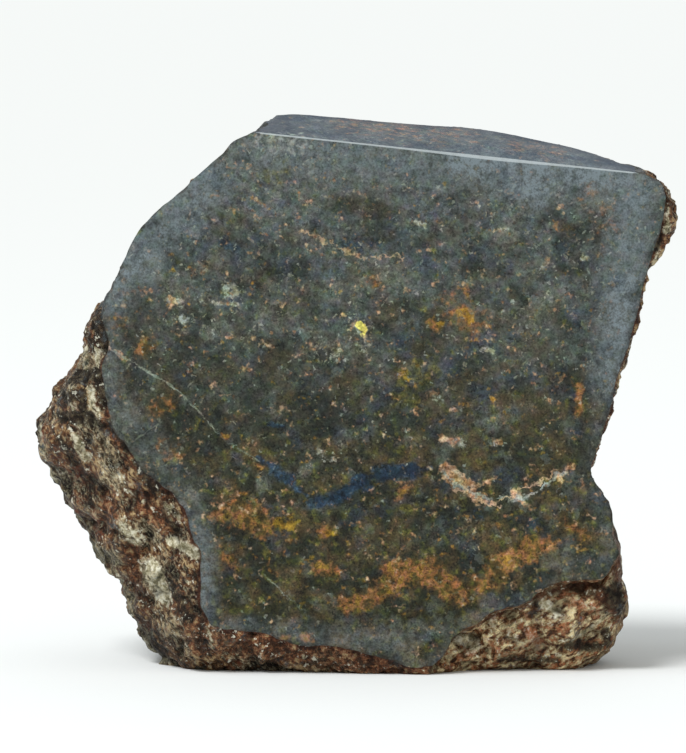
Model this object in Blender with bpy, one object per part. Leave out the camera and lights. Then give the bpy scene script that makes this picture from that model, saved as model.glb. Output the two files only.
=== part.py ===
"""Lunar meteorite: an end cut that stands on a sawn foot, with its polished face to the front.

The stone is one solid. It starts as the rough stone, lofted from the edge of the polished face
out to the girth and round the back. Lumps, dents and fine relief are pushed into its natural
skin, and then the saw cuts the sloping top facet and the foot.

Lengths are in millimetres until the last step, which scales the mesh to metres. The polished
face looks along -Y, +X is to its right and +Z is up.
"""

import math

import bmesh
import bpy
import numpy as np
from mathutils import Vector, noise

NAME = "meteorite"
MM = 0.001

# Thickness of the stone and the fullness of its back, where 2 is an ellipse and more is boxier
THICKNESS = 21.0
BACK_FULLNESS = 3.0
BACK_LEAN_X = -0.006
BACK_LEAN_Z = -0.004

# The girth's small ins and outs fade into a calm outline on the way to the middle of the back
CALM_BELOW = 0.62
CALM_WINDOW = 0.34

# A point of the front view, as x and z: a line from it in any direction meets each outline once
CENTRE = (-0.9, 26.1)

# The top saw cut passes through the ridge, a straight line across the front, and rises behind it
RIDGE_LEFT = Vector((-9.4, 0.0, 51.3))
RIDGE_RIGHT = Vector((26.8, 0.0, 47.45))
TOP_FACET_RISE = math.radians(5.2)

# The rough stone above the ridge, as it was before that cut, as x and z from right to left
UNCUT_TOP = [
    (26.8, 47.4), (25.3, 48.0), (24.2, 49.6), (22.6, 56.0), (17.0, 63.5),
    (7.0, 66.0), (-1.5, 62.0), (-6.3, 56.5), (-8.4, 52.6), (-9.4, 51.3),
]

# Edge of the polished face as x and z, from the left end of the ridge down, along and up again
FACE_LEFT = [
    (-11.0, 50.5), (-12.8, 49.0), (-16.9, 45.3), (-19.2, 43.4), (-20.7, 41.5), (-21.6, 39.6),
    (-23.3, 35.9), (-23.9, 34.2),
    (-23.1, 31.1), (-23.9, 29.6), (-23.7, 27.3), (-22.9, 23.5), (-21.4, 21.6), (-20.1, 19.6),
    (-17.1, 17.0), (-16.0, 15.2), (-15.5, 13.1), (-14.5, 11.8), (-14.7, 8.7), (-14.4, 6.1),
]
FACE_BOTTOM = [
    (-13.4, 4.6), (-10.8, 4.2), (-7.8, 3.8), (-5.7, 2.9), (-2.4, 2.7), (0.9, 2.0),
    (5.2, 0.8), (7.1, 0.8),
]
FACE_CHIP = [
    (8.0, 1.3), (8.5, 2.9), (10.7, 4.5), (12.8, 6.0), (16.0, 6.8), (17.5, 8.2),
    (19.5, 9.0), (21.7, 9.0), (23.6, 10.1), (24.7, 11.2),
]
FACE_RIGHT = [
    (24.4, 13.8), (24.3, 16.0), (22.5, 18.9), (22.3, 19.8), (24.0, 24.5), (24.6, 27.4),
    (26.3, 32.7), (27.1, 36.4), (28.2, 40.0), (28.9, 43.7), (29.2, 45.5), (28.1, 47.0),
]

# Girth, the widest outline of the natural skin, as x, z and depth behind the face, the same way
GIRTH_LEFT = [
    (-12.3, 48.3, 3.0), (-16.4, 44.6, 3.2), (-20.2, 40.8, 3.2), (-22.9, 35.4, 2.8),
    (-24.5, 33.7, 2.2), (-25.1, 32.6, 2.4), (-25.9, 30.3, 3.2), (-26.4, 28.5, 4.2),
    (-27.8, 27.5, 5.2), (-29.5, 25.5, 7.0), (-30.0, 24.1, 8.0), (-30.8, 22.5, 9.0),
    (-30.9, 21.1, 9.0), (-28.5, 17.0, 9.0), (-26.6, 14.1, 9.0), (-25.2, 10.6, 8.5),
    (-23.0, 7.5, 8.0), (-21.4, 4.7, 7.5), (-20.2, 1.8, 7.0), (-19.3, 0.3, 7.0),
]
GIRTH_BOTTOM = [
    (-18.3, -0.8, 7.0), (-13.0, -1.9, 7.0), (-7.0, -2.7, 7.5), (4.0, -3.0, 7.5),
    (15.0, -1.7, 6.5), (20.5, -0.3, 6.0), (24.0, 1.6, 5.0),
]
GIRTH_RIGHT = [
    (24.7, 4.0, 5.0), (25.6, 6.1, 4.5), (25.1, 8.9, 4.2), (25.4, 10.0, 4.0), (24.6, 13.0, 3.6),
    (24.0, 15.5, 3.4), (22.1, 18.4, 3.2), (22.2, 19.8, 3.2), (24.0, 24.4, 3.2),
    (24.6, 27.3, 3.2), (26.3, 32.6, 3.2), (27.3, 36.7, 3.2), (28.7, 39.3, 3.2),
    (29.8, 41.1, 3.2), (30.1, 43.0, 3.2), (29.7, 44.7, 3.0), (28.0, 46.4, 2.6),
]
UNCUT_TOP_DEPTH = 3.0

# Share of the slope from face to girth that is straight; the rest bends back like a quarter round
SLOPE_STRAIGHT = 0.55

# Broken chip at the lower right: a steep ledge under the face, then rough ground that swells out
CHIP_ANGLES = (math.radians(-73.0), math.radians(-29.0))
CHIP_BLEND = math.radians(4.0)
CHIP_LEDGE = 2.5
CHIP_LEDGE_WIDTH = 0.25
CHIP_FADE = 2.2
CHIP_SWELL = 0.9
CHIP_SLOPE_WIDTHS = (0.8, 3.0)

# Mesh density: columns round the stone, rings down the slope and rings round the back.
# The columns are halved each time that the back has closed in to the next of these shares.
COLUMNS = 160
SLOPE_RINGS = 10
BACK_RINGS = 32
HALVE_BELOW = (0.80, 0.42, 0.20, 0.09)

# Lumps on the weathered slope in front: x, z, radius and height towards the viewer
LUMPS = [
    (-24.2, 32.6, 1.3, 0.7), (-26.9, 26.5, 2.4, 1.5), (-29.0, 22.4, 1.7, 0.9),
    (-26.5, 21.0, 1.9, 0.9), (-24.2, 18.4, 2.0, 0.8), (-25.6, 15.6, 1.8, 0.8),
    (-21.6, 14.9, 2.2, 0.9), (-18.6, 13.4, 1.7, 0.8), (-22.6, 11.4, 2.0, 0.8),
    (-18.9, 8.9, 2.0, 0.9), (-20.6, 6.2, 1.9, 0.8), (-17.0, 5.0, 1.8, 0.7),
    (-15.2, 2.4, 1.6, 0.7), (-9.0, 1.8, 1.4, 0.4), (24.4, 6.4, 1.9, 1.3),
    (14.6, 3.6, 2.6, 0.8), (19.2, 4.6, 2.7, 0.9), (29.3, 43.6, 1.6, 0.6),
    (29.0, 40.6, 1.2, 0.5),
]

# Hollows between those lumps: x, z, radius and depth
HOLLOWS = [
    (-24.6, 29.6, 1.5, 0.9), (-23.9, 24.6, 1.4, 0.7), (-27.8, 19.4, 1.4, 0.6),
    (-23.6, 16.2, 1.2, 0.6), (-20.0, 11.0, 1.3, 0.6), (-17.2, 7.2, 1.2, 0.6),
    (21.8, 2.4, 1.6, 0.7), (11.4, 2.0, 1.5, 0.5),
]

# Thumbprint dents on the back: x, z, radius and depth
BACK_DENTS = [
    (-14.0, 39.0, 8.5, 1.9), (2.0, 43.0, 8.0, 1.6), (15.0, 38.5, 7.5, 1.9), (-3.5, 30.0, 8.5, 1.7),
    (-18.5, 23.5, 8.0, 2.0), (11.0, 25.5, 8.0, 2.0), (-7.5, 14.5, 8.0, 1.8), (8.0, 10.5, 7.5, 1.6),
    (-19.0, 9.0, 6.5, 1.3), (19.0, 14.0, 6.0, 1.4),
]

# Relief of the natural skin: size of one feature and its height, coarse to fine
RELIEF = [(8.0, 0.9), (4.6, 0.75), (3.0, 0.35)]
BACK_RELIEF = [(15.0, 1.9)]
RELIEF_SEED = Vector((31.7, -12.3, 8.9))
EDGE_CALM = 1.8
FACE_CLEARANCE = 0.12

# Points this near to a saw cut are moved onto it, so that the cut leaves no thin slivers.
# A cut leaves one face with many corners, and a face of the skin never has more than this.
SNAP = 0.16
MOST_SKIN_CORNERS = 8

CRUST_COLOUR = (0.118, 0.066, 0.040, 1.0)
CRUST_ROUGHNESS = 0.55
CUT_COLOUR = (0.072, 0.078, 0.068, 1.0)
CUT_ROUGHNESS = 0.32
SHARP_ANGLE = math.radians(38.0)


def smooth_step(low, high, value):
    """0 below low, 1 above high and a smooth ramp between them."""
    share = min(max((value - low) / (high - low), 0.0), 1.0)
    return share * share * (3.0 - 2.0 * share)


def bump(distance, radius):
    """A round-topped bump of height 1 that ends smoothly at its radius."""
    return (1.0 - (distance / radius) ** 2) ** 2 if distance < radius else 0.0


def closed_curve(points, steps=8):
    """A closed curve through the points (Catmull-Rom), as an array of rows."""
    rows = np.array(points, dtype=float)
    before, after, beyond = np.roll(rows, 1, 0), np.roll(rows, -1, 0), np.roll(rows, -2, 0)
    curve = []
    for start, here, there, end in zip(before, rows, after, beyond):
        for step in range(steps):
            t = step / steps
            curve.append(0.5 * (2.0 * here + (there - start) * t
                                + (2.0 * start - 5.0 * here + 4.0 * there - end) * t ** 2
                                + (3.0 * here - start - 3.0 * there + end) * t ** 3))
    return np.array(curve)


def read_round(curve, angles):
    """Radius from the centre, and any further column of the curve, at the given angles."""
    offsets = curve[:, :2] - np.array(CENTRE)
    turns = np.arctan2(offsets[:, 1], offsets[:, 0])
    radii = np.hypot(offsets[:, 0], offsets[:, 1])
    extras = [np.interp(angles, turns, column, period=2.0 * math.pi) for column in curve[:, 2:].T]
    return [np.interp(angles, turns, radii, period=2.0 * math.pi)] + extras


def back_profile(count):
    """Radius and depth shares from the girth to the middle of the back, evenly spaced."""
    turn = np.linspace(0.0, 0.5 * math.pi, 400)
    radius = np.cos(turn).clip(0.0) ** (2.0 / BACK_FULLNESS)
    depth = np.sin(turn) ** (2.0 / BACK_FULLNESS)
    travelled = np.concatenate([[0.0], np.cumsum(np.hypot(np.diff(radius), np.diff(depth)))])
    stops = np.linspace(0.0, travelled[-1], count + 1)
    return np.interp(stops, travelled, radius), np.interp(stops, travelled, depth)


def calm_round(values):
    """The values averaged round the stone over a soft window."""
    count = len(values)
    window = np.hanning(int(count * CALM_WINDOW) | 1)
    averaged = np.convolve(np.tile(values, 3), window / window.sum(), mode="same")
    return averaged[count:2 * count]


def chip_share(angle):
    """1 inside the chip at the lower right, 0 outside it."""
    turn = (angle + math.pi) % (2.0 * math.pi) - math.pi
    start, end = CHIP_ANGLES
    return (smooth_step(start, start + CHIP_BLEND, turn)
            * (1.0 - smooth_step(end - CHIP_BLEND, end, turn)))


def slope_point(ring, face_radius, girth_radius, girth_depth, chip):
    """Radius and depth on the slope from the face's edge (ring 0) to the girth."""
    turn = 0.5 * math.pi * ring / SLOPE_RINGS
    share = math.sin(turn)
    width = girth_radius - face_radius
    radius = face_radius + width * share
    depth = girth_depth * (SLOPE_STRAIGHT * share + (1.0 - SLOPE_STRAIGHT) * (1.0 - math.cos(turn)))
    chip *= smooth_step(*CHIP_SLOPE_WIDTHS, width)
    if ring == 0 or chip == 0.0:
        return radius, depth
    if ring == 1:
        return face_radius + CHIP_LEDGE_WIDTH, depth * (1.0 - chip) + CHIP_LEDGE * chip
    ground = CHIP_LEDGE * math.exp(-CHIP_FADE * share) - CHIP_SWELL * math.sin(math.pi * share)
    return radius, depth + chip * ground * (1.0 - share ** 4)


def outlines(angles):
    """Radius of the face's edge, and radius and depth of the girth, in every direction."""
    face = UNCUT_TOP + FACE_LEFT + FACE_BOTTOM + FACE_CHIP + FACE_RIGHT
    top = [(x, z, UNCUT_TOP_DEPTH) for x, z in UNCUT_TOP]
    girth = top + GIRTH_LEFT + GIRTH_BOTTOM + GIRTH_RIGHT
    face_radius, = read_round(closed_curve(face), angles)
    girth_radius, girth_depth = read_round(closed_curve(girth), angles)
    return face_radius, girth_radius, girth_depth


def ring_points(angles, face_radius, girth_radius, girth_depth):
    """All rings of the rough stone, from the edge of the face to the last one on the back."""
    rings = []
    for ring in range(SLOPE_RINGS + 1):
        rows = [slope_point(ring, *row) for row in
                zip(face_radius, girth_radius, girth_depth, map(chip_share, angles))]
        rings.append([place(angle, *row) for angle, row in zip(angles, rows)])
    calm_radius, calm_depth = calm_round(girth_radius), calm_round(girth_depth)
    for radius_share, depth_share in list(zip(*back_profile(BACK_RINGS)))[1:-1]:
        step = 2 ** sum(radius_share < limit for limit in HALVE_BELOW)
        detail = smooth_step(CALM_BELOW, 1.0, radius_share)
        radii = radius_share * (calm_radius + (girth_radius - calm_radius) * detail)
        depths = calm_depth + (girth_depth - calm_depth) * detail
        depths += (THICKNESS - depths) * depth_share
        rings.append([place(*row) for row in zip(angles[::step], radii[::step], depths[::step])])
    return rings


def place(angle, radius, depth):
    """A point of the stone from its direction and radius in the front view, and its depth."""
    x = CENTRE[0] + radius * math.cos(angle)
    z = CENTRE[1] + radius * math.sin(angle)
    lean = 1.0 + BACK_LEAN_X * (x - CENTRE[0]) + BACK_LEAN_Z * (z - CENTRE[1])
    return Vector((x, depth * lean, z))


def join_rings(bm, outer, inner):
    """Faces between two rings; the inner one has as many points as the outer one, or half."""
    count = len(outer)
    if len(inner) == count:
        for i in range(count):
            j = (i + 1) % count
            bm.faces.new((outer[i], inner[i], inner[j], outer[j]))
        return
    for i in range(len(inner)):
        j = (i + 1) % len(inner)
        a, b, c = outer[2 * i], outer[2 * i + 1], outer[(2 * i + 2) % count]
        bm.faces.new((a, inner[i], b))
        bm.faces.new((b, inner[i], inner[j]))
        bm.faces.new((b, inner[j], c))


def rough_stone(bm):
    """The closed rough stone, with the flat face in front; its rings, and how far it may reach."""
    angles = np.arange(COLUMNS) * 2.0 * math.pi / COLUMNS
    face_radius, girth_radius, girth_depth = outlines(angles)
    points = ring_points(angles, face_radius, girth_radius, girth_depth)
    rings = [[bm.verts.new(point) for point in ring] for ring in points]
    rings.append([bm.verts.new(place(0.0, 0.0, THICKNESS))])
    for outer, inner in zip(rings[:-2], rings[1:-1]):
        join_rings(bm, outer, inner)
    last, (middle,) = rings[-2:]
    for i, vert in enumerate(last):
        bm.faces.new((vert, middle, last[(i + 1) % len(last)]))
    bm.faces.new(rings[0])
    bmesh.ops.recalc_face_normals(bm, faces=bm.faces[:])
    bm.normal_update()
    return rings, np.maximum(face_radius, girth_radius)


def relief(point, table):
    """Height of the natural skin's relief at a point, from a table of sizes and heights."""
    return sum(amount * noise.noise((point + RELIEF_SEED) / size) for size, amount in table)


def spots(point, table):
    """Sum of the round bumps of a table of x, z, radius and height, seen from the front."""
    return sum(height * bump(math.hypot(point.x - x, point.z - z), radius)
               for x, z, radius, height in table)


def shape_skin(rings, reach):
    """Lumps, hollows, dents and relief on the natural skin, kept inside the girth's outline."""
    edge = [vert.co.copy() for vert in rings[0]]
    moves = []
    for ring in rings[1:]:
        step = COLUMNS // len(ring)
        for column, vert in enumerate(ring):
            point = vert.co
            front = max(-vert.normal.y, 0.0) ** 0.5
            back = max(vert.normal.y, 0.0)
            calm = smooth_step(0.0, EDGE_CALM, (point - edge[column * step]).length)
            height = relief(point, RELIEF) * calm
            height += (relief(point, BACK_RELIEF) - spots(point, BACK_DENTS)) * back
            height += (spots(point, LUMPS) - spots(point, HOLLOWS)) * front
            moves.append((vert, vert.normal * height, reach[column * step]))
    for vert, move, limit in moves:
        start = vert.co.y
        vert.co += move
        vert.co.y = max(vert.co.y, min(FACE_CLEARANCE, start))
        x, z = vert.co.x - CENTRE[0], vert.co.z - CENTRE[1]
        inside = min(1.0, limit / max(math.hypot(x, z), limit))
        vert.co.x = CENTRE[0] + x * inside
        vert.co.z = CENTRE[1] + z * inside


def saw_cut(bm, point, normal):
    """Cut away what lies past the plane, and close the cut with one flat face."""
    for vert in bm.verts:
        distance = (vert.co - point).dot(normal)
        if abs(distance) < SNAP and vert.co.y > SNAP:
            vert.co -= normal * distance
    geometry = bm.verts[:] + bm.edges[:] + bm.faces[:]
    cut = bmesh.ops.bisect_plane(bm, geom=geometry, dist=1e-5, plane_co=point, plane_no=normal,
                                 clear_outer=True)
    rim = [item for item in cut["geom_cut"] if isinstance(item, bmesh.types.BMEdge)]
    bmesh.ops.holes_fill(bm, edges=rim)


def cut_top(bm):
    """The sloping facet along the top, whose front edge is the straight ridge."""
    along = (RIDGE_RIGHT - RIDGE_LEFT).normalized()
    back = Vector((0.0, math.cos(TOP_FACET_RISE), math.sin(TOP_FACET_RISE)))
    saw_cut(bm, RIDGE_LEFT, along.cross(back).normalized())


def cut_foot(bm):
    """The flat foot that the stone stands on."""
    saw_cut(bm, Vector((0.0, 0.0, 0.0)), Vector((0.0, 0.0, -1.0)))


def centre_on_foot(bm):
    """Put the origin under the middle of the stone's box, at the level of the foot."""
    low = [min(vert.co[axis] for vert in bm.verts) for axis in range(3)]
    high = [max(vert.co[axis] for vert in bm.verts) for axis in range(3)]
    middle = Vector(((low[0] + high[0]) / 2.0, (low[1] + high[1]) / 2.0, low[2]))
    bmesh.ops.translate(bm, verts=bm.verts[:], vec=-middle)
    bmesh.ops.scale(bm, verts=bm.verts[:], vec=(MM, MM, MM))


def material(name, colour, roughness):
    """A plain stone finish."""
    finish = bpy.data.materials.new(name)
    finish.use_nodes = True
    shader = finish.node_tree.nodes["Principled BSDF"]
    shader.inputs["Base Color"].default_value = colour
    shader.inputs["Roughness"].default_value = roughness
    shader.inputs["Metallic"].default_value = 0.0
    finish.diffuse_color = colour
    return finish


def build_meteorite(collection):
    """The whole stone as one closed solid."""
    bm = bmesh.new()
    rings, reach = rough_stone(bm)
    shape_skin(rings, reach)
    cut_top(bm)
    cut_foot(bm)
    for face in bm.faces:
        face.material_index = int(len(face.verts) > MOST_SKIN_CORNERS)
    bmesh.ops.triangulate(bm, faces=bm.faces[:])
    bmesh.ops.recalc_face_normals(bm, faces=bm.faces[:])
    centre_on_foot(bm)

    mesh = bpy.data.meshes.new(NAME)
    bm.to_mesh(mesh)
    bm.free()
    mesh.shade_smooth()
    mesh.set_sharp_from_angle(angle=SHARP_ANGLE)
    mesh.materials.append(material("weathered crust", CRUST_COLOUR, CRUST_ROUGHNESS))
    mesh.materials.append(material("cut face", CUT_COLOUR, CUT_ROUGHNESS))
    stone = bpy.data.objects.new(NAME, mesh)
    collection.objects.link(stone)
    return stone


def main():
    for thing in list(bpy.data.objects):
        bpy.data.objects.remove(thing, do_unlink=True)
    parts = bpy.data.collections.new("lunar meteorite")
    bpy.context.scene.collection.children.link(parts)
    build_meteorite(parts)


main()
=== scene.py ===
"""Lunar meteorite, dressed: a polished cut face, a sawn facet along the top and weathered crust.

The finished stone stands for the plain solid of the frame. Its natural skin is that solid's, refined
and given fine relief, and its flat cuts are filled again with an even net of small faces, so that
what marks them can be stored on their corners.

Places on the stone are in millimetres in the part's own frame: x to the right and z up as the
polished face is seen from the front, and y from the front to the back.
"""

import math
from collections import namedtuple

import bmesh
import bpy
import numpy as np
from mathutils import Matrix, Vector, geometry, kdtree, noise


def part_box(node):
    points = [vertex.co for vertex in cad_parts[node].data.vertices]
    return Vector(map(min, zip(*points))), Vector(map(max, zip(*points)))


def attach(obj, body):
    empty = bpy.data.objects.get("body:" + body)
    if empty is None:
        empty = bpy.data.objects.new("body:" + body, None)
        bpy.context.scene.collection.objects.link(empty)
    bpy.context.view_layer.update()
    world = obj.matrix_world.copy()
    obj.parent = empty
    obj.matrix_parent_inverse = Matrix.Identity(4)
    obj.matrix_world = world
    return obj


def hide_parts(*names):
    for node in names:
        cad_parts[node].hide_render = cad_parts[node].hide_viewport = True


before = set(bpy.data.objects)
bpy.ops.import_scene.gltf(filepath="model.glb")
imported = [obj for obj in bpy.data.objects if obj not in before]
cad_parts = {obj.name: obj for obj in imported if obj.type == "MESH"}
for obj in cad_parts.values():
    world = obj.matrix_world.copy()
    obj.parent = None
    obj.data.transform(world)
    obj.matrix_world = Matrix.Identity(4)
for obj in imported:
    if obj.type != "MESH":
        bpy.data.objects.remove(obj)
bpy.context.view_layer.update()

MM = 0.001
NODE = "meteorite"
BODY = "root"

LOW = np.array(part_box(NODE)[0]) / MM
# Middle of the front view, from which directions are taken
CENTRE = np.array((-0.6, 26.1))

# Making the mesh: corners nearer than this join, and a corner this near to a cut lies on it
JOIN_WITHIN = 0.001
ON_PLANE = 0.004
# A face whose normal rises this much looks up
LOOKS_UP = 0.7
SKIN_LEVELS = 2
FLATTEST_JOIN = math.radians(40.0)
SHAPE_JOIN = math.radians(60.0)
SHARP_EDGE = math.radians(50.0)
# Distance of the corners that fill the cuts, and the share of it that they stay off the rim
FACE_PITCH = 0.34
FOOT_PITCH = 0.60
RIM_CLEAR = 0.62

# The crisp ridge between the polished face and the top facet is worn to a narrow round. It is a
# little wider at a share of its length, over a spread, and it runs out over the last stretch.
RIDGE_WIDTH = 0.13
RIDGE_EXTRA = 0.15
RIDGE_WIDEST = 0.62
RIDGE_SPREAD = 0.17
RIDGE_ROUND = 0.03
RIDGE_END = 0.9
RIDGE_END_SHARE = 0.15

# Rounding of the polished face's edge: direction from the centre in degrees, width and drop
EDGE_ROUNDING = [
    (-180, 1.5, 0.42), (-155, 1.3, 0.34), (-130, 0.9, 0.20), (-100, 0.6, 0.12), (-75, 0.35, 0.06),
    (-30, 0.35, 0.08), (-20, 0.8, 0.25), (15, 0.8, 0.28), (38, 1.0, 0.30), (60, 0.6, 0.10),
    (105, 0.8, 0.18), (125, 1.6, 0.45), (180, 1.5, 0.42),
]
# How deep behind the face the rounding reaches, and how far below the ridge it is in full
ROUNDING_DEPTH = 2.2
RIDGE_CLEAR = 3.0
# Width and drop of the rounding at the back edge of the top facet
TOP_ROUNDING = (0.6, 0.05)
# The top facet's crown: x of its middle, its half width and its height, how far back it has
# risen and how deep it fades out
TOP_CROWN = (13.0, 8.0, 0.42)
CROWN_RISE = 6.0
CROWN_DEPTH = 4.0

# Wander of the natural skin and of the edges of the cuts: size of one turn and amount. The
# seed makes it the same in every run.
WANDER = [(2.2, 0.22), (0.9, 0.17)]
WANDER_SEED = 7
# Share of that wander near the polished face: direction from the centre in degrees and share
RIM_WANDER = [(-180, 1.0), (-120, 1.0), (-75, 0.9), (-35, 0.7), (-20, 0.45), (60, 0.35), (105, 0.35),
              (168, 0.35), (180, 1.0)]
RIM_DEPTH = 2.0

# Small shifts of the outline: x and z of a stretch's two ends, its reach, how far it moves to the
# right and up, and how deep the shift goes. A shift ends at a number of reaches and starts to
# fall off at a share of its depth.
SHIFT_FADE = 2.0
SHIFT_FULL = 0.3
SHIFTS = [
    (-26.2, 30.2, -28.3, 26.8, 1.0, 0.55, -0.05, 22.0),
    (-29.2, 25.0, -29.6, 24.2, 0.8, 0.55, -0.10, 22.0),
    (-29.8, 22.8, -29.8, 22.4, 0.5, -0.35, -0.10, 22.0),
    (-28.6, 20.6, -26.4, 15.6, 1.2, -0.40, 0.0, 22.0),
    (-24.9, 13.2, -24.4, 12.4, 0.9, 0.25, 0.0, 22.0),
    (-21.9, 7.6, -21.5, 6.8, 0.9, 0.40, 0.0, 22.0),
    (-11.0, 50.7, -10.7, 50.3, 1.0, -0.36, 0.0, 9.0),
    (-7.6, 52.6, -6.2, 52.6, 0.8, 0.0, -0.34, 9.0),
    (28.8, 40.0, 23.4, 21.4, 1.2, -0.26, 0.0, 22.0),
    (22.8, 18.6, 25.0, 9.0, 1.2, -0.40, 0.0, 22.0),
    (23.2, 9.4, 24.6, 11.6, 0.8, 0.60, -0.25, 1.6),
]

# Fine relief of the skin by region: kind of relief, size of one feature and its height
RELIEF = {
    "slope": [("lumps", 2.4, 0.30), ("ridges", 1.5, 0.26), ("lumps", 0.95, 0.17), ("grit", 0.45, 0.12)],
    "chip": [("ridges", 2.4, 0.34), ("lumps", 1.2, 0.20), ("ridges", 0.8, 0.14), ("grit", 0.42, 0.12)],
    "back": [("ledges", 7.5, 0.95), ("ledges", 3.0, 0.45), ("waves", 4.2, 0.30),
             ("cracks", 6.5, 0.34), ("ridges", 1.9, 0.24), ("lumps", 1.1, 0.14),
             ("grit", 0.5, 0.10)],
}
RELIEF_SEED = Vector((12.4, -7.1, 33.9))
# The relief fades out this near to an edge, and carved skin stays this far inside the cuts
EDGE_CALM = 0.35
INSIDE_CUTS = 0.02
# The chip lies between two directions from the centre, and the front regions end over a depth
CHIP_TURN = (math.radians(-74.0), math.radians(-27.0))
CHIP_BLEND = math.radians(5.0)
SLOPE_REACH = (3.0, 9.0)

# Stretches where the saw wore the skin smooth: x and z of the two ends, reach and share taken away
CALM = [(-13.4, 48.4, -7.0, 52.4, 1.6, 0.9), (26.4, 47.4, 27.6, 46.2, 0.8, 0.7),
        (24.6, 17.0, 25.4, 10.0, 1.4, 0.75)]

# Small round pits in the skin: share of cells that have one, size of a cell, depth, and where
# a pit's wall starts and ends in its cell
PITS = (0.22, 2.4, 0.35)
PIT_WALL = (0.16, 0.34)

# Steps in one rise of a ledge noise, where their fronts lie, and how wide a crack is in its cell
LEDGE_STEPS = 3.0
LEDGE_FRONT = (0.36, 0.64)
CRACK_WIDTH = 0.10


def smooth_step(low, high, value):
    """0 below low, 1 above high and a smooth ramp between them; values may be an array."""
    share = np.clip((np.asarray(value, dtype=float) - low) / (high - low), 0.0, 1.0)
    return share * share * (3.0 - 2.0 * share)


# The flat cuts

Cut = namedtuple("Cut", "point normal across along")


def cut_through(point, normal, across):
    """A flat cut: a point on it, its outward normal and two directions in it."""
    normal = np.array(normal, dtype=float)
    normal /= np.linalg.norm(normal)
    across = np.array(across, dtype=float)
    across -= normal * across.dot(normal)
    across /= np.linalg.norm(across)
    return Cut(np.array(point, dtype=float), normal, across, np.cross(normal, across))


def height_over(cut, points):
    """Distance of points from a cut, positive outside the stone."""
    return (np.asarray(points) - cut.point) @ cut.normal


def on_cut(cut, points):
    """Which of the points lie on a cut."""
    return np.abs(height_over(cut, points)) < ON_PLANE


def plain_copy():
    """The frame's solid in millimetres, with its loose corners joined."""
    bm = bmesh.new()
    bm.from_mesh(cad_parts[NODE].data)
    bmesh.ops.scale(bm, verts=bm.verts[:], vec=(1.0 / MM, 1.0 / MM, 1.0 / MM))
    bmesh.ops.remove_doubles(bm, verts=bm.verts[:], dist=JOIN_WITHIN)
    bm.normal_update()
    return bm


def find_cuts(bm):
    """The polished face, the sawn facet along the top and the foot."""
    upward = [face for face in bm.faces if face.normal.z > LOOKS_UP]
    crown = max(upward, key=lambda face: face.calc_area())
    polished = cut_through((0.0, LOW[1], 0.0), (0.0, -1.0, 0.0), (1.0, 0.0, 0.0))
    top = cut_through(crown.verts[0].co, crown.normal, (1.0, 0.0, 0.0))
    foot = cut_through((0.0, 0.0, LOW[2]), (0.0, 0.0, -1.0), (1.0, 0.0, 0.0))
    return polished, top, foot


def open_skin(bm, cuts):
    """Takes the flat faces out of the solid; gives back the two ends of the ridge."""
    flats = []
    for cut in cuts:
        flats.append([face for face in bm.faces
                      if on_cut(cut, [vert.co for vert in face.verts]).all()])
    corners = [{vert for face in faces for vert in face.verts} for faces in flats]
    ends = sorted(corners[0] & corners[1], key=lambda vert: vert.co.x)
    ridge = [np.array(ends[0].co), np.array(ends[-1].co)]
    bmesh.ops.delete(bm, geom=[face for faces in flats for face in faces], context="FACES")
    return ridge


def refined_skin(bm, ridge):
    """The natural skin, smoothed and cut into small faces: its corners, normals and faces."""
    bmesh.ops.join_triangles(bm, faces=bm.faces[:], angle_face_threshold=FLATTEST_JOIN,
                             angle_shape_threshold=SHAPE_JOIN)
    mesh = bpy.data.meshes.new("skin")
    bm.to_mesh(mesh)
    crease = mesh.attributes.new("crease_vert", "FLOAT", "POINT")
    for vert in mesh.vertices:
        if min(np.linalg.norm(np.array(vert.co) - end) for end in ridge) < ON_PLANE:
            crease.data[vert.index].value = 1.0
    skin = bpy.data.objects.new("skin", mesh)
    bpy.context.scene.collection.objects.link(skin)
    smoother = skin.modifiers.new("refine", "SUBSURF")
    smoother.levels = smoother.render_levels = SKIN_LEVELS
    smoother.boundary_smooth = "PRESERVE_CORNERS"
    bpy.context.view_layer.update()
    fine = bpy.data.meshes.new_from_object(skin.evaluated_get(bpy.context.evaluated_depsgraph_get()))
    points = read(fine.vertices, "co", 3)
    normals = read(fine.vertex_normals, "vector", 3)
    faces = [tuple(face.vertices) for face in fine.polygons]
    bpy.data.objects.remove(skin)
    bpy.data.meshes.remove(mesh)
    bpy.data.meshes.remove(fine)
    return points, normals, faces


def read(items, name, width=1):
    """A property of all items as an array."""
    values = np.empty(len(items) * width)
    items.foreach_get(name, values)
    return values.reshape(-1, width) if width > 1 else values


def open_edges(faces):
    """The edges that only one face has."""
    seen = {}
    for face in faces:
        for start, end in zip(face, face[1:] + face[:1]):
            key = (min(start, end), max(start, end))
            seen[key] = seen.get(key, 0) + 1
    return [edge for edge, count in seen.items() if count == 1]


class Nearest:
    """Finds the nearest of a set of points."""

    def __init__(self, points):
        self.tree = kdtree.KDTree(len(points))
        for index, point in enumerate(points):
            self.tree.insert(point, index)
        self.tree.balance()

    def distances(self, points):
        return np.array([self.tree.find(point)[2] for point in points])

    def indices(self, points):
        return np.array([self.tree.find(point)[1] for point in points])


# Relief of the natural skin

def lumps(point, size):
    """Round lumps side by side, with narrow valleys between them."""
    nearest = noise.voronoi(point / size)[0][0]
    return 1.0 - 2.6 * nearest * nearest


def ridges(point, size):
    """Sharp broken crests."""
    return noise.ridged_multi_fractal(point / size, 1.0, 2.1, 3, 1.0, 2.0) - 0.9


def waves(point, size):
    """Soft rises and falls."""
    return noise.fractal(point / size, 1.0, 2.0, 2)


def grit(point, size):
    """Fine roughness."""
    return noise.noise(point / size)


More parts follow.
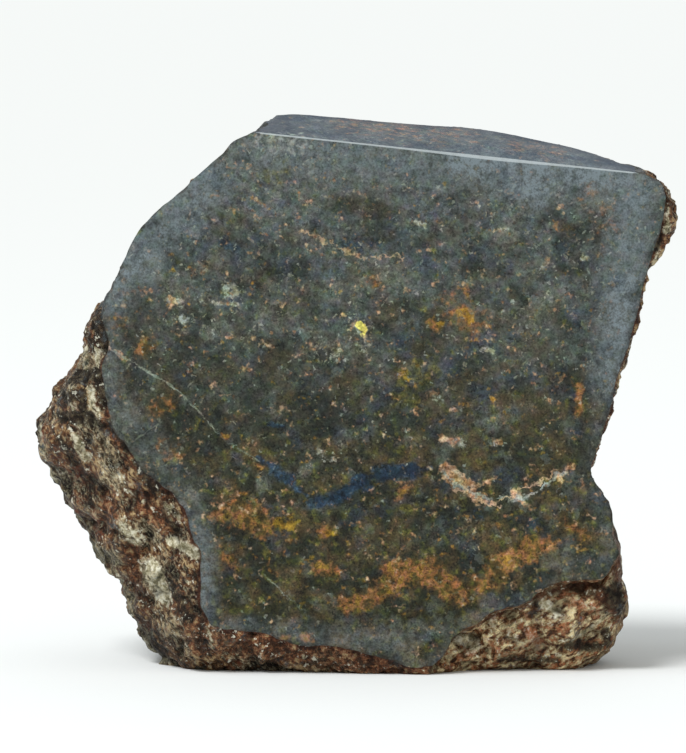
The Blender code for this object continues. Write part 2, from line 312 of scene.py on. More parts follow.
def ledges(point, size):
    """Flat steps with short steep fronts."""
    level = LEDGE_STEPS * noise.noise(point / size)
    step = math.floor(level)
    return (step + float(smooth_step(*LEDGE_FRONT, level - step))) / LEDGE_STEPS


def cracks(point, size):
    """Narrow grooves between large cells."""
    first, second = noise.voronoi(point / size)[0][:2]
    return -max(0.0, 1.0 - (second - first) / CRACK_WIDTH)


KINDS = {"lumps": lumps, "ridges": ridges, "waves": waves, "grit": grit, "ledges": ledges,
         "cracks": cracks}


def relief(point, layers):
    """Height of all layers of relief together."""
    return sum(height * KINDS[kind](point, size) for kind, size, height in layers)


def pit(point):
    """Depth of a round pit, in the few cells that have one."""
    share, size, depth = PITS
    distances, places = noise.voronoi(point / size)
    if noise.cell(places[0] * 7.3) > 2.0 * share - 1.0:
        return 0.0
    return depth * float(1.0 - smooth_step(*PIT_WALL, distances[0]))


def turn_from_centre(points):
    """Direction of points from the centre of the front view."""
    return np.arctan2(points[:, 2] - CENTRE[1], points[:, 0] - CENTRE[0])


def regions(points):
    """How far each point belongs to the front slope, to the chip and to the back."""
    turn = turn_from_centre(points)
    start, end = CHIP_TURN
    depth = points[:, 1] - LOW[1]
    front = 1.0 - smooth_step(*SLOPE_REACH, depth)
    chip = (smooth_step(start, start + CHIP_BLEND, turn)
            * (1.0 - smooth_step(end - CHIP_BLEND, end, turn)) * front)
    return {"slope": front * (1.0 - chip), "chip": chip, "back": 1.0 - front}


def wander(points, cuts, held):
    """Moves the skin about a little, while points on a cut stay in it and held ones stay put."""
    noise.seed_set(WANDER_SEED)
    moved = points.copy()
    depth = points[:, 1] - LOW[1]
    share = np.interp(np.degrees(turn_from_centre(points)), *np.array(RIM_WANDER, dtype=float).T)
    share += (1.0 - share) * smooth_step(0.0, RIM_DEPTH, depth)
    for index, point in enumerate(points):
        place = Vector(point) + RELIEF_SEED
        for size, amount in WANDER:
            moved[index] += share[index] * amount * np.array(noise.noise_vector(place / size))
    for *stretch, reach, right, up, deep in SHIFTS:
        away = distance_from(points[:, [0, 2]], stretch)
        pull = 1.0 - smooth_step(0.0, SHIFT_FADE * reach, away)
        pull *= 1.0 - smooth_step(SHIFT_FULL * deep, deep, depth)
        moved += np.outer(pull, (right, 0.0, up))
    for cut in cuts:
        rim = on_cut(cut, points)
        moved[rim] -= np.outer(height_over(cut, moved[rim]), cut.normal)
    moved[held] = points[held]
    return moved


def carve_skin(points, normals, cuts, rim):
    """Pushes lumps, ridges, grit and pits into the skin; gives back the points and their lift."""
    calm = smooth_step(0.0, EDGE_CALM, Nearest(points[rim]).distances(points))
    shares = regions(points)
    heights = np.zeros(len(points))
    for index in range(len(points)):
        place = Vector(points[index]) + RELIEF_SEED
        for region, layers in RELIEF.items():
            if shares[region][index] > 0.0:
                heights[index] += shares[region][index] * relief(place, layers)
        heights[index] -= pit(place)
    heights -= heights.mean()
    heights *= 1.0 - closeness(points[:, [0, 2]], CALM)
    carved = points + normals * (heights * calm)[:, None]
    for cut in cuts:
        over = height_over(cut, carved) + INSIDE_CUTS
        over[rim] = 0.0
        carved -= np.outer(np.maximum(over, 0.0), cut.normal)
    return carved, heights * calm


# Filling the flat cuts again

def ridge_chains(ridge, polished, top):
    """Three rows of points along the worn ridge, in front of it, on its round and behind it."""
    start, end = ridge
    length = np.linalg.norm(end - start)
    count = int(length / FACE_PITCH)
    share = np.linspace(0.0, 1.0, count + 1)[1:-1]
    middle = start + np.outer(share, end - start)
    width = RIDGE_WIDTH + RIDGE_EXTRA * np.exp(-((share - RIDGE_WIDEST) / RIDGE_SPREAD) ** 2)
    from_end = smooth_step(0.0, RIDGE_END, np.minimum(share, 1.0 - share) * length)
    width *= RIDGE_END_SHARE + (1.0 - RIDGE_END_SHARE) * from_end
    along = (end - start) / length
    down = np.cross(along, polished.normal)
    down *= -np.sign(down[2])
    back = np.cross(along, top.normal)
    back *= np.sign(back[1])
    front_row = middle + np.outer(width, down)
    back_row = middle + np.outer(width, back)
    outward = (polished.normal + top.normal) / np.linalg.norm(polished.normal + top.normal)
    round_row = (front_row + back_row) / 2.0 + np.outer(width / RIDGE_WIDTH, outward) * RIDGE_ROUND
    return front_row, round_row, back_row


def fill(cut, points, edges, pitch):
    """An even net of small triangles inside the closed edges on a cut: new points and faces."""
    used = sorted({index for edge in edges for index in edge})
    local = {index: place for place, index in enumerate(used)}
    flat = np.column_stack([(points[used] - cut.point) @ cut.across,
                            (points[used] - cut.point) @ cut.along])
    low, high = flat.min(0), flat.max(0)
    step = pitch * math.sqrt(0.75)
    rows = [(x + 0.5 * pitch * (row % 2), y)
            for row, y in enumerate(np.arange(low[1], high[1], step))
            for x in np.arange(low[0], high[0], pitch)]
    rim = Nearest([(x, y, 0.0) for x, y in flat])
    inner = [place for place in rows if rim.tree.find((*place, 0.0))[2] > RIM_CLEAR * pitch]
    corners = [Vector(place) for place in flat] + [Vector(place) for place in inner]
    sides = [(local[start], local[end]) for start, end in edges]
    places, _, triangles, sources, _, _ = geometry.delaunay_2d_cdt(corners, sides, [], 1, 1e-6)
    wanted = sorted({index for triangle in triangles for index in triangle})
    number, added = {}, []
    for index in wanted:
        source = [item for item in sources[index] if item < len(used)]
        if source:
            number[index] = used[source[0]]
        else:
            number[index] = len(points) + len(added)
            added.append(cut.point + places[index].x * cut.across + places[index].y * cut.along)
    faces = [tuple(number[index] for index in triangle) for triangle in triangles]
    return np.array(added), faces


def strip(first, second, start, end):
    """Faces between two rows of corners that share their two ends."""
    faces = [(start, first[0], second[0]), (end, second[-1], first[-1])]
    for i in range(len(first) - 1):
        faces.append((first[i], first[i + 1], second[i + 1], second[i]))
    return faces


def edge_values(turn, column):
    """A column of the edge rounding table at the given directions."""
    table = np.array(EDGE_ROUNDING, dtype=float)
    return np.interp(np.degrees(turn), table[:, 0], table[:, column])


def round_polished_edge(points, outline, polished, ridge, flat):
    """Rolls the polished face over at its edge, and takes the skin beside it along."""
    finder = Nearest(points[outline])
    close = np.nonzero(height_over(polished, points) > -ROUNDING_DEPTH)[0]
    nearest = points[outline][finder.indices(points[close])]
    away = np.linalg.norm(points[close] - nearest, axis=1)
    turn = turn_from_centre(nearest)
    below = below_ridge(points[close], ridge)
    drop = edge_values(turn, 2) * smooth_step(0.1, RIDGE_CLEAR, below)
    inside = flat[close]
    share = np.clip(1.0 - away / edge_values(turn, 1), 0.0, 1.0) ** 2
    depth = -height_over(polished, points[close])
    fade = 1.0 - smooth_step(0.0, ROUNDING_DEPTH, depth)
    points[close, 1] += drop * np.where(inside, share, fade)


def below_ridge(points, ridge):
    """How far points lie below the line of the ridge, in the front view."""
    start, end = ridge
    line = start[2] + (points[:, 0] - start[0]) * (end[2] - start[2]) / (end[0] - start[0])
    return line - points[:, 2]


def round_top_edge(points, outline, top, flat):
    """Takes the sharpness off the back edge of the top facet, which is a little crowned."""
    width, drop = TOP_ROUNDING
    close = np.nonzero(flat)[0]
    away = Nearest(points[outline]).distances(points[close])
    share = np.clip(1.0 - away / width, 0.0, 1.0) ** 2
    points[close] -= np.outer(drop * share, top.normal)
    middle, reach, height = TOP_CROWN
    rise = height * np.exp(-((points[:, 0] - middle) / reach) ** 2)
    rise *= smooth_step(0.0, CROWN_RISE, points[:, 1] - LOW[1])
    rise *= smooth_step(-CROWN_DEPTH, 0.0, height_over(top, points))
    points[:, 2] += rise


POLISHED, FACET, RIDGE, CRUST = range(4)


def build_stone_mesh():
    """All corners, faces and materials of the finished stone, and what was measured on the way."""
    bm = plain_copy()
    cuts = polished, top, foot = find_cuts(bm)
    ridge = open_skin(bm, cuts)
    points, normals, faces = refined_skin(bm, ridge)
    bm.free()

    edges = open_edges(faces)
    rim = np.array(sorted({index for edge in edges for index in edge}))
    ends = [int(np.argmin(np.linalg.norm(points - end, axis=1))) for end in ridge]
    ridge = [points[end] for end in ends]
    points = wander(points, cuts, ends)
    points, lift = carve_skin(points, normals, cuts, rim)
    looks = [CRUST] * len(faces)

    rows = []
    for row in ridge_chains(ridge, polished, top):
        rows.append(list(range(len(points), len(points) + len(row))))
        points = np.vstack([points, row])
    for first, second in zip(rows, rows[1:]):
        worn = strip(first, second, *ends)
        faces += worn
        looks += [RIDGE] * len(worn)

    outlines = []
    for cut, look, pitch, row in ((polished, POLISHED, FACE_PITCH, rows[0]),
                                  (top, FACET, FACE_PITCH, rows[-1]), (foot, CRUST, FOOT_PITCH, [])):
        on = on_cut(cut, points)
        around = [edge for edge in edges if on[edge[0]] and on[edge[1]]]
        outlines.append(sorted({index for edge in around for index in edge}))
        if row:
            chain = [ends[0]] + row + [ends[1]]
            around += list(zip(chain, chain[1:]))
        added, net = fill(cut, points, around, pitch)
        points = np.vstack([points, added])
        faces += net
        looks += [look] * len(net)

    lift = np.concatenate([lift, np.zeros(len(points) - len(lift))])
    flat = np.zeros((2, len(points)), dtype=bool)
    for face, look in zip(faces, looks):
        if look in (POLISHED, FACET):
            flat[look][list(face)] = True
    edge = Nearest(points[outlines[0]]).distances(points)
    rear = Nearest(points[outlines[1]]).distances(points)
    round_polished_edge(points, outlines[0], polished, ridge, flat[0])
    round_top_edge(points, outlines[1], top, flat[1])
    return points, faces, looks, {"lift": lift, "edge": edge, "rear": rear}


# What marks the stone. A spot or streak is x and z of its two ends, its reach and its strength.
# It fades out at a number of reaches.

SPOT_FADE = 1.6
RUST = [
    (-1.0, 51.9, 6.0, 51.2, 1.2, 0.75), (7.6, 50.7, 11.6, 50.4, 1.0, 0.65),
    (15.0, 49.8, 19.8, 49.1, 0.9, 0.65), (9.6, 34.6, 11.4, 33.4, 1.9, 0.75),
    (8.6, 35.6, 10.6, 36.4, 1.0, 0.5), (7.3, 33.3, 8.3, 33.2, 0.8, 0.8), (1.9, 37.3, 2.1, 36.9, 0.7, 0.7),
    (-19.7, 30.8, -19.1, 31.4, 0.9, 1.0), (-21.9, 33.1, -21.7, 33.1, 0.6, 0.8),
    (-18.3, 25.2, -17.2, 26.0, 1.0, 0.8), (-11.7, 24.2, -11.5, 24.4, 0.6, 0.9),
    (-11.9, 22.6, -11.8, 22.6, 0.4, 0.9), (-10.9, 15.7, -8.6, 14.5, 1.6, 1.0),
    (-12.9, 15.0, -11.4, 15.1, 0.7, 0.8), (-2.6, 13.6, -2.2, 13.7, 0.7, 0.8),
    (-12.3, 11.2, -11.7, 10.6, 0.9, 0.7), (-3.2, 10.3, -1.5, 9.6, 0.8, 0.9),
    (-0.6, 6.6, 1.6, 7.2, 1.0, 1.3), (1.6, 7.2, 4.4, 9.1, 1.1, 1.15), (4.0, 9.6, 7.2, 9.7, 1.4, 1.35),
    (7.2, 9.6, 9.9, 7.8, 1.2, 1.3), (10.2, 8.0, 14.0, 9.6, 0.9, 1.0), (13.4, 9.9, 16.2, 11.9, 1.2, 1.0),
    (15.9, 11.4, 18.4, 12.2, 1.0, 1.0), (17.0, 12.6, 17.3, 13.6, 0.7, 0.9),
    (20.4, 14.2, 21.5, 13.4, 1.0, 0.6), (22.2, 45.9, 22.6, 45.6, 0.7, 0.8),
    (22.4, 44.4, 23.9, 42.8, 1.7, 0.4), (19.3, 42.4, 20.2, 42.0, 0.8, 0.5),
    (-17.9, 21.9, -16.4, 20.9, 0.9, 0.6), (-9.6, 20.2, -8.8, 19.8, 0.6, 0.6),
    (-6.5, 3.5, -3.7, 3.7, 0.5, 0.9), (-14.6, 38.4, -13.4, 38.8, 0.7, 0.5),
    (-22.6, 33.4, -20.6, 36.2, 1.6, 0.35), (-8.8, 44.9, -7.9, 44.8, 0.5, 0.5),
    (4.6, 17.2, 5.4, 17.9, 0.7, 0.8), (21.5, 27.4, 21.2, 24.8, 0.5, 0.9),
]
RUST_HAZE = [
    (-13.5, 12.5, 22.0, 12.0, 6.5, 0.48), (-18.0, 22.0, -7.0, 18.0, 4.5, 0.28),
    (24.0, 43.5, 21.0, 27.0, 3.0, 0.24), (-22.0, 33.0, -14.0, 40.0, 3.0, 0.20),
    (4.0, 31.0, 8.0, 25.5, 3.2, 0.30),
]
OLIVE = [
    (7.2, 29.4, 5.3, 26.4, 1.6, 0.7), (3.6, 21.8, 4.4, 21.6, 0.6, 0.9), (5.4, 21.0, 5.7, 20.8, 0.5, 0.7),
    (-7.0, 14.4, -6.1, 14.2, 0.7, 1.0), (-5.4, 35.6, -4.6, 35.0, 0.8, 0.4),
    (-8.2, 47.0, -6.4, 48.4, 1.2, 0.5), (4.5, 28.9, 4.7, 28.0, 0.6, 0.7),
    (12.6, 25.6, 13.4, 25.2, 0.5, 0.6), (-13.0, 43.5, -12.0, 42.9, 0.8, 0.5),
    (4.9, 16.1, 5.3, 16.0, 0.5, 0.9), (7.9, 29.0, 8.2, 28.7, 0.6, 0.8), (6.0, 35.2, 6.6, 34.6, 0.5, 0.5),
]
BLUE = [
    (-7.3, 19.4, -5.9, 18.6, 0.7, 1.0), (-8.8, 20.6, -7.4, 19.6, 0.4, 0.9),
    (2.6, 19.2, 5.8, 19.5, 0.9, 1.1), (-3.8, 16.3, -1.2, 16.8, 0.6, 1.0),
    (-0.8, 17.2, 0.8, 18.6, 0.7, 1.1), (-5.4, 17.8, -4.4, 17.2, 0.4, 0.7),
    (6.0, 19.5, 7.6, 19.7, 0.3, 0.8), (-7.8, 23.8, -6.4, 23.6, 0.35, 1.0),
    (-0.8, 41.2, 2.6, 40.3, 1.3, 0.55), (9.8, 15.8, 13.0, 15.1, 0.9, 0.35),
    (17.0, 14.1, 19.2, 13.6, 0.8, 0.4), (-11.9, 40.9, -11.1, 40.4, 1.0, 0.6),
    (0.2, 18.0, 1.4, 18.2, 0.8, 0.9),
]
PALE = [
    (-11.7, 36.7, -10.9, 36.3, 0.9, 1.0), (-16.9, 35.5, -16.2, 35.4, 0.8, 0.9),
    (-16.2, 33.8, -15.6, 33.6, 0.6, 0.8), (-14.6, 35.4, -10.8, 35.1, 0.35, 0.9),
    (0.2, 33.4, 1.2, 32.6, 0.9, 0.8), (0.6, 31.6, 1.3, 31.0, 0.8, 0.6),
    (-2.9, 31.0, -1.4, 30.4, 1.1, 0.5), (13.2, 42.35, 14.6, 42.25, 0.25, 0.9),
    (20.8, 39.1, 22.4, 39.6, 0.35, 0.8), (17.2, 38.4, 19.4, 39.4, 0.4, 0.6),
    (-14.0, 33.0, -13.0, 32.6, 0.4, 0.5), (-2.9, 21.1, -1.9, 20.7, 0.6, 0.8),
    (9.3, 22.3, 10.4, 22.0, 0.5, 0.9), (13.2, 22.3, 14.0, 21.8, 0.5, 0.9),
    (-8.6, 51.0, -5.4, 50.0, 1.5, 0.75), (15.5, 46.4, 16.4, 45.7, 0.8, 0.6),
    (19.2, 46.0, 19.9, 45.5, 0.7, 0.5), (8.0, 26.4, 8.4, 25.8, 0.4, 0.9),
    (12.4, 30.9, 13.1, 30.7, 0.4, 0.8), (-6.0, 37.9, -5.2, 37.2, 0.5, 0.6),
    (6.0, 42.9, 6.9, 42.5, 0.4, 0.8),
]
SULPHUR = [(0.7, 33.2, 1.1, 32.8, 0.42, 1.3), (0.9, 32.3, 1.1, 32.0, 0.25, 0.7)]
# Tiny pits by the sulphur spot: painted shade, dark dots in place of holes in the surface
PAINTED_PIT_SHADE = [
    (0.55, 33.55, 0.7, 33.5, 0.12, 1.0), (0.85, 32.45, 0.95, 32.4, 0.12, 1.0),
    (2.1, 30.9, 2.2, 30.8, 0.1, 0.8),
]
OCHRE = [
    (-6.9, 14.4, -5.8, 14.25, 0.80, 1.0), (-17.4, 35.5, -16.9, 35.3, 0.35, 0.7),
    (-21.9, 33.1, -21.8, 33.0, 0.3, 0.8), (-2.4, 13.4, -1.6, 13.5, 0.35, 0.8),
    (10.4, 34.2, 11.2, 33.6, 0.5, 0.8), (8.2, 33.4, 8.6, 33.3, 0.3, 0.9),
    (4.8, 28.6, 5.8, 27.4, 0.8, 0.5), (13.0, 26.2, 13.4, 26.0, 0.3, 0.6),
    (-4.3, 10.9, -3.5, 11.2, 0.4, 0.6), (2.6, 7.6, 3.8, 8.0, 0.4, 0.6),
    (16.9, 14.2, 17.8, 13.4, 0.5, 0.5), (20.4, 13.0, 21.6, 12.2, 0.5, 0.4),
]
CREAM = [
    (-23.4, 31.2, -21.9, 30.5, 0.30, 0.9), (8.8, 19.5, 11.6, 17.5, 0.95, 1.0),
    (6.9, 19.7, 8.6, 19.6, 0.30, 0.6), (15.4, 17.2, 16.3, 16.4, 0.60, 0.9),
    (19.6, 18.8, 20.6, 19.8, 0.50, 0.9), (8.6, 22.4, 10.0, 22.2, 0.35, 0.6),
    (13.2, 22.4, 14.0, 22.0, 0.35, 0.6), (-17.2, 35.6, -16.6, 35.3, 0.4, 0.7),
    (-0.6, 40.2, 0.9, 39.6, 0.30, 0.45), (-18.9, 30.9, -18.6, 31.2, 0.25, 0.6),
]
SHADE = [
    (-19.0, 32.0, -11.0, 27.0, 4.5, 0.75), (-10.0, 10.0, 0.0, 7.0, 3.0, 0.4),
    (18.4, 46.6, 20.2, 46.4, 1.9, 0.8), (-3.0, 12.0, 8.0, 13.5, 4.0, 0.8),
    (-10.0, 30.0, -2.0, 26.0, 5.0, 0.25), (-8.5, 12.6, -7.4, 12.2, 1.2, 0.6),
    (-1.5, 19.0, 0.5, 17.4, 2.0, 0.5),
]
# Painted reflection: stretches where a pale blue-grey sheen is laid into the polished face's colour
PAINTED_REFLECTION_SPOTS = [
    (-9.0, 50.0, 27.0, 46.4, 3.0, 0.55), (10.0, 48.9, 25.0, 47.2, 2.0, 1.25),
    (13.0, 47.4, 17.6, 45.6, 1.8, 1.0), (26.4, 45.0, 24.6, 28.0, 2.2, 0.92),
    (-13.0, 47.0, -23.5, 35.0, 2.2, 0.75), (-22.8, 32.0, -22.2, 26.0, 1.2, 0.32),
    (-22.0, 25.5, -15.2, 16.2, 1.8, 0.34), (-14.4, 14.0, -13.8, 6.6, 1.5, 0.62),
    (-12.6, 4.6, 5.0, 3.0, 1.2, 0.42), (19.0, 10.6, 23.6, 10.8, 1.2, 0.30),
    (24.6, 12.0, 22.4, 20.0, 1.0, 0.30),
]

# Spots of the crust and of the chip, in the front view
CALICHE = [
    (29.3, 44.3, 29.6, 42.0, 0.5, 1.2), (28.9, 40.6, 28.6, 39.4, 0.3, 0.8),
    (-25.3, 30.6, -25.0, 28.6, 0.45, 1.0), (-24.1, 30.8, -23.8, 28.8, 0.35, 1.0),
    (-24.2, 30.9, -22.3, 30.4, 0.3, 1.0), (-26.6, 27.4, -26.3, 27.2, 0.5, 1.2),
    (-26.6, 25.5, -26.3, 25.1, 0.65, 1.0), (-24.5, 27.4, -24.4, 25.7, 0.6, 1.0),
    (-24.1, 25.3, -23.9, 23.8, 0.6, 0.8), (-25.9, 23.6, -25.7, 23.3, 0.45, 1.0),
    (-26.1, 22.1, -25.1, 20.4, 0.8, 1.1), (-25.5, 19.7, -25.0, 18.9, 0.5, 0.6),
    (-25.0, 17.3, -24.4, 15.9, 0.55, 1.0), (-23.6, 20.0, -21.1, 18.1, 0.2, 0.9),
    (-21.1, 17.3, -19.2, 16.0, 0.2, 0.9), (-22.5, 18.5, -21.8, 17.4, 0.45, 0.6),
    (-17.5, 16.0, -16.4, 15.0, 0.6, 0.95), (-21.6, 13.9, -20.4, 12.4, 1.0, 1.0),
    (-17.1, 12.7, -14.4, 11.3, 0.65, 1.5), (-19.0, 9.9, -17.8, 7.2, 1.15, 1.5),
    (-15.5, 8.8, -15.3, 8.6, 0.4, 0.8), (-13.7, 5.1, -13.1, 2.5, 0.25, 1.1),
    (-16.6, 5.2, -15.8, 4.4, 0.5, 0.7), (-10.4, 2.0, -3.0, 1.6, 0.5, 0.4),
    (-23.4, 13.2, -22.6, 11.6, 0.4, 0.5),
]
CHIP_CREAM = [
    (9.9, 3.2, 11.6, 2.4, 1.1, 1.0), (12.2, 5.0, 14.4, 4.4, 0.9, 0.7), (17.9, 6.8, 19.3, 5.7, 0.9, 1.1),
    (19.6, 3.0, 21.4, 3.4, 0.3, 1.0), (21.4, 3.4, 23.0, 4.4, 0.3, 1.1), (23.0, 4.4, 24.2, 5.6, 0.3, 1.0),
    (14.6, 6.0, 16.6, 6.6, 0.5, 0.8), (21.6, 6.9, 22.8, 6.2, 0.6, 0.7), (14.9, 3.6, 15.9, 2.9, 0.6, 0.7),
]
CHIP_RUST = [
    (16.8, 3.9, 17.6, 2.6, 0.7, 1.0), (20.3, 7.1, 23.0, 6.2, 0.9, 0.7), (12.6, 3.0, 13.6, 2.2, 0.6, 0.7),
    (10.6, 2.2, 11.6, 1.8, 0.4, 0.8), (19.0, 4.6, 20.2, 4.4, 0.6, 0.6),
]
MAROON = [
    (-29.2, 23.0, -27.2, 17.6, 1.0, 0.9), (-25.4, 14.4, -22.6, 9.0, 0.8, 0.8),
    (-24.6, 33.6, -23.9, 32.0, 1.6, 1.0), (-28.0, 25.2, -26.6, 24.6, 1.8, 0.8),
    (-14.5, 4.0, 6.0, 0.4, 2.0, 1.0), (-19.8, 16.4, -17.6, 14.0, 1.2, 1.0),
    (-23.0, 16.5, -23.4, 12.6, 1.3, 1.0), (-20.8, 11.0, -21.6, 4.0, 1.4, 1.1),
    (-22.6, 24.0, -18.0, 17.8, 1.2, 1.3), (20.2, 5.0, 23.0, 4.8, 0.6, 1.0),
    (-16.8, 7.6, -14.4, 2.6, 1.2, 1.1), (19.6, 8.9, 24.6, 8.8, 1.1, 1.0),
    (24.6, 13.0, 26.0, 9.0, 1.2, 1.2), (24.8, 7.6, 25.4, 5.4, 1.2, 1.0),
    (29.6, 44.4, 29.6, 40.6, 1.2, 0.7),
]
BLACK = [
    (-29.8, 24.8, -28.6, 20.6, 0.6, 0.8), (-27.4, 19.0, -25.2, 14.6, 0.6, 0.7),
    (-27.0, 25.9, -26.2, 26.4, 0.5, 1.1), (-24.2, 34.6, -22.6, 31.6, 1.1, 1.4),
    (-25.2, 32.2, -24.6, 31.4, 0.5, 1.2), (-24.0, 28.6, -23.2, 26.0, 0.5, 1.2),
    (-28.4, 27.2, -24.6, 28.3, 0.6, 1.0), (-28.6, 26.4, -28.2, 24.6, 0.9, 1.0),
    (-27.6, 24.0, -24.8, 24.3, 0.7, 1.2), (-27.8, 28.2, -24.0, 28.4, 0.4, 1.3),
    (-25.4, 26.8, -25.3, 25.2, 0.45, 1.0), (-27.6, 26.4, -26.0, 26.3, 0.4, 1.0),
    (-22.6, 24.0, -20.8, 21.4, 0.8, 0.7), (-20.2, 20.2, -18.4, 17.4, 0.8, 0.7),
    (-27.6, 22.0, -26.6, 19.6, 0.7, 0.7), (-23.6, 15.4, -22.4, 12.6, 0.8, 0.5),
    (-16.9, 8.4, -15.4, 5.4, 0.9, 0.6), (-24.2, 33.9, -23.2, 31.6, 0.9, 1.0),
    (24.8, 8.0, 25.8, 5.6, 0.8, 0.9), (28.6, 43.8, 28.6, 40.4, 0.45, 0.8),
    (-17.4, 14.6, -15.8, 12.9, 0.5, 0.7), (20.6, 2.6, 23.6, 2.1, 0.7, 0.7),
    (24.0, 3.8, 24.6, 2.0, 0.5, 0.9), (14.0, 1.2, 19.4, 1.0, 0.5, 0.6),
]
# The dark ledge between the polished face and the chip: painted shadow under the face's edge, over dark
# brown varnish
LEDGE_VARNISH_AND_SHADOW = [
    (8.3, 2.3, 10.2, 3.9, 0.45, 1.0), (10.2, 3.9, 12.1, 5.0, 0.50, 1.0),
    (12.1, 5.0, 14.0, 5.9, 0.50, 1.0), (14.0, 5.9, 17.1, 7.0, 0.50, 1.0),
    (17.1, 7.0, 18.6, 8.2, 0.60, 1.0), (18.6, 8.2, 20.9, 8.4, 0.85, 1.0),
    (20.9, 8.4, 23.2, 8.0, 1.0, 1.0), (24.6, 12.8, 25.4, 8.8, 0.8, 1.1), (23.2, 8.0, 25.0, 6.6, 1.0, 1.0),
    (25.0, 6.6, 25.4, 4.8, 0.70, 1.0),
]

# Ends of the top facet and of the slope, where the saw just took the skin off
SAWN = [(-10.4, 50.2, -7.2, 52.6, 1.1, 1.0), (26.4, 47.6, 28.2, 45.6, 0.7, 0.8)]
GREY_RIM = [(-22.6, 37.6, -23.4, 35.2, 0.8, 1.0)]

CUT_SPOTS = {
    "rust": RUST, "rust_haze": RUST_HAZE, "olive": OLIVE, "blue": BLUE, "pale": PALE,
    "sulphur": SULPHUR, "painted_pit_shade": PAINTED_PIT_SHADE, "sawn": SAWN, "ochre": OCHRE, "cream": CREAM,
    "shade": SHADE, "haze": PAINTED_REFLECTION_SPOTS,
}
# These lie on the natural skin, in full where its normal leans to the front by IN_SIGHT or more
FRONT_SPOTS = {
    "caliche": CALICHE, "chip_cream": CHIP_CREAM, "chip_rust": CHIP_RUST, "ledge_varnish_and_shadow": LEDGE_VARNISH_AND_SHADOW,
    "maroon": MAROON, "black": BLACK, "grey_rim": GREY_RIM,
}
IN_SIGHT = 0.30

# Veins in the polished face, each a line of x and z places
VEINS = {
    "pale_vein": [(-22.8, 30.9), (-19.3, 28.9), (-16.1, 26.8), (-13.6, 24.1), (-12.4, 22.8)],
    "faint_vein": [(-13.0, 23.5), (-11.6, 22.0), (-8.8, 20.4), (-7.6, 19.1)],
    "blue_vein": [(-3.6, 16.3), (-0.8, 17.2), (0.4, 18.3), (2.4, 19.2), (5.6, 19.5), (7.4, 19.5)],
    "cream_vein": [(8.1, 19.6), (9.5, 18.4), (11.1, 17.5), (12.7, 16.8), (14.7, 16.7), (16.3, 17.0),
                   (18.3, 18.1), (20.4, 19.7)],
    "cream_strand": [(9.2, 18.0), (10.8, 17.2), (12.4, 16.4), (13.8, 16.2), (15.6, 17.4),
                     (17.6, 18.2), (19.6, 19.7)],
    "upper_vein": [(-5.4, 41.9), (-3.9, 41.7), (-2.1, 40.9), (-0.6, 40.1), (0.8, 39.5), (3.1, 39.7),
                   (5.8, 39.3)],
    "lower_vein": [(-8.4, 9.6), (-6.9, 8.2), (-5.8, 7.3), (-4.2, 5.9)],
    "second_vein": [(-20.7, 22.1), (-19.2, 23.2), (-17.6, 24.2)],
}

# The crust's streaks: their direction in the front view, on the slope and in the chip, and how
# much longer they are than wide
STREAK_TURN = math.radians(-58.0)
CHIP_STREAK_TURN = math.radians(33.0)
STREAK_LENGTH = 2.3

# Height of the relief that the stored lift spans, and how much more it is at the back; stored
# distances from an edge end at EDGE_FAR
LIFT_SPAN = 0.9
BACK_SPAN = 1.2
EDGE_FAR = 6.0


def away_from(flat, start, end):
    """From a line between two places: signed distance, how far along it, and its length."""
    step = end - start
    length = max(float(np.hypot(*step)), 1e-6)
    share = ((flat - start) @ step) / length ** 2
    side = ((flat[:, 0] - start[0]) * step[1] - (flat[:, 1] - start[1]) * step[0]) / length
    gap = flat - start - np.outer(np.clip(share, 0.0, 1.0), step)
    away = np.hypot(gap[:, 0], gap[:, 1]) * np.where(side < 0.0, -1.0, 1.0)
    return away, share * length, length


def distance_from(flat, stretch):
    """Distance of places from a stretch given as x and z of its two ends."""
    return np.abs(away_from(flat, np.array(stretch[:2]), np.array(stretch[2:]))[0])


def closeness(flat, spots):
    """From 0 outside all spots to their strength in their middles."""
    value = np.zeros(len(flat))
    for *stretch, reach, strength in spots:
        away = distance_from(flat, stretch)
        value = np.maximum(value, strength * (1.0 - smooth_step(0.0, SPOT_FADE * reach, away)))
    return value


def along_vein(flat, line):
    """For each place its signed distance from a vein and how far along it is, then a 0."""
    places = np.array(line)
    best = np.full(len(flat), np.inf)
    found = np.zeros((len(flat), 3))
    travelled = 0.0
    for start, end in zip(places, places[1:]):
        away, along, length = away_from(flat, start, end)
        nearer = np.abs(away) < best
        best[nearer] = np.abs(away)[nearer]
        found[nearer, 0] = away[nearer]
        found[nearer, 1] = travelled + along[nearer]
        travelled += length
    return found


def flow(points, chip):
    """Places turned and squeezed, so that an even texture laid on them makes streaks."""
    turn = np.where(chip > 0.5, CHIP_STREAK_TURN, STREAK_TURN)
    along = points[:, 0] * np.cos(turn) + points[:, 2] * np.sin(turn)
    across = points[:, 2] * np.cos(turn) - points[:, 0] * np.sin(turn)
    return np.column_stack([along / STREAK_LENGTH, points[:, 1], across])


def store(mesh, name, values):
    """Keeps a number or a vector for each corner point of the mesh."""
    kind, field = ("FLOAT", "value") if values.ndim == 1 else ("FLOAT_VECTOR", "vector")
    attribute = mesh.attributes.new(name, kind, "POINT")
    attribute.data.foreach_set(field, values.astype(np.float32).ravel())


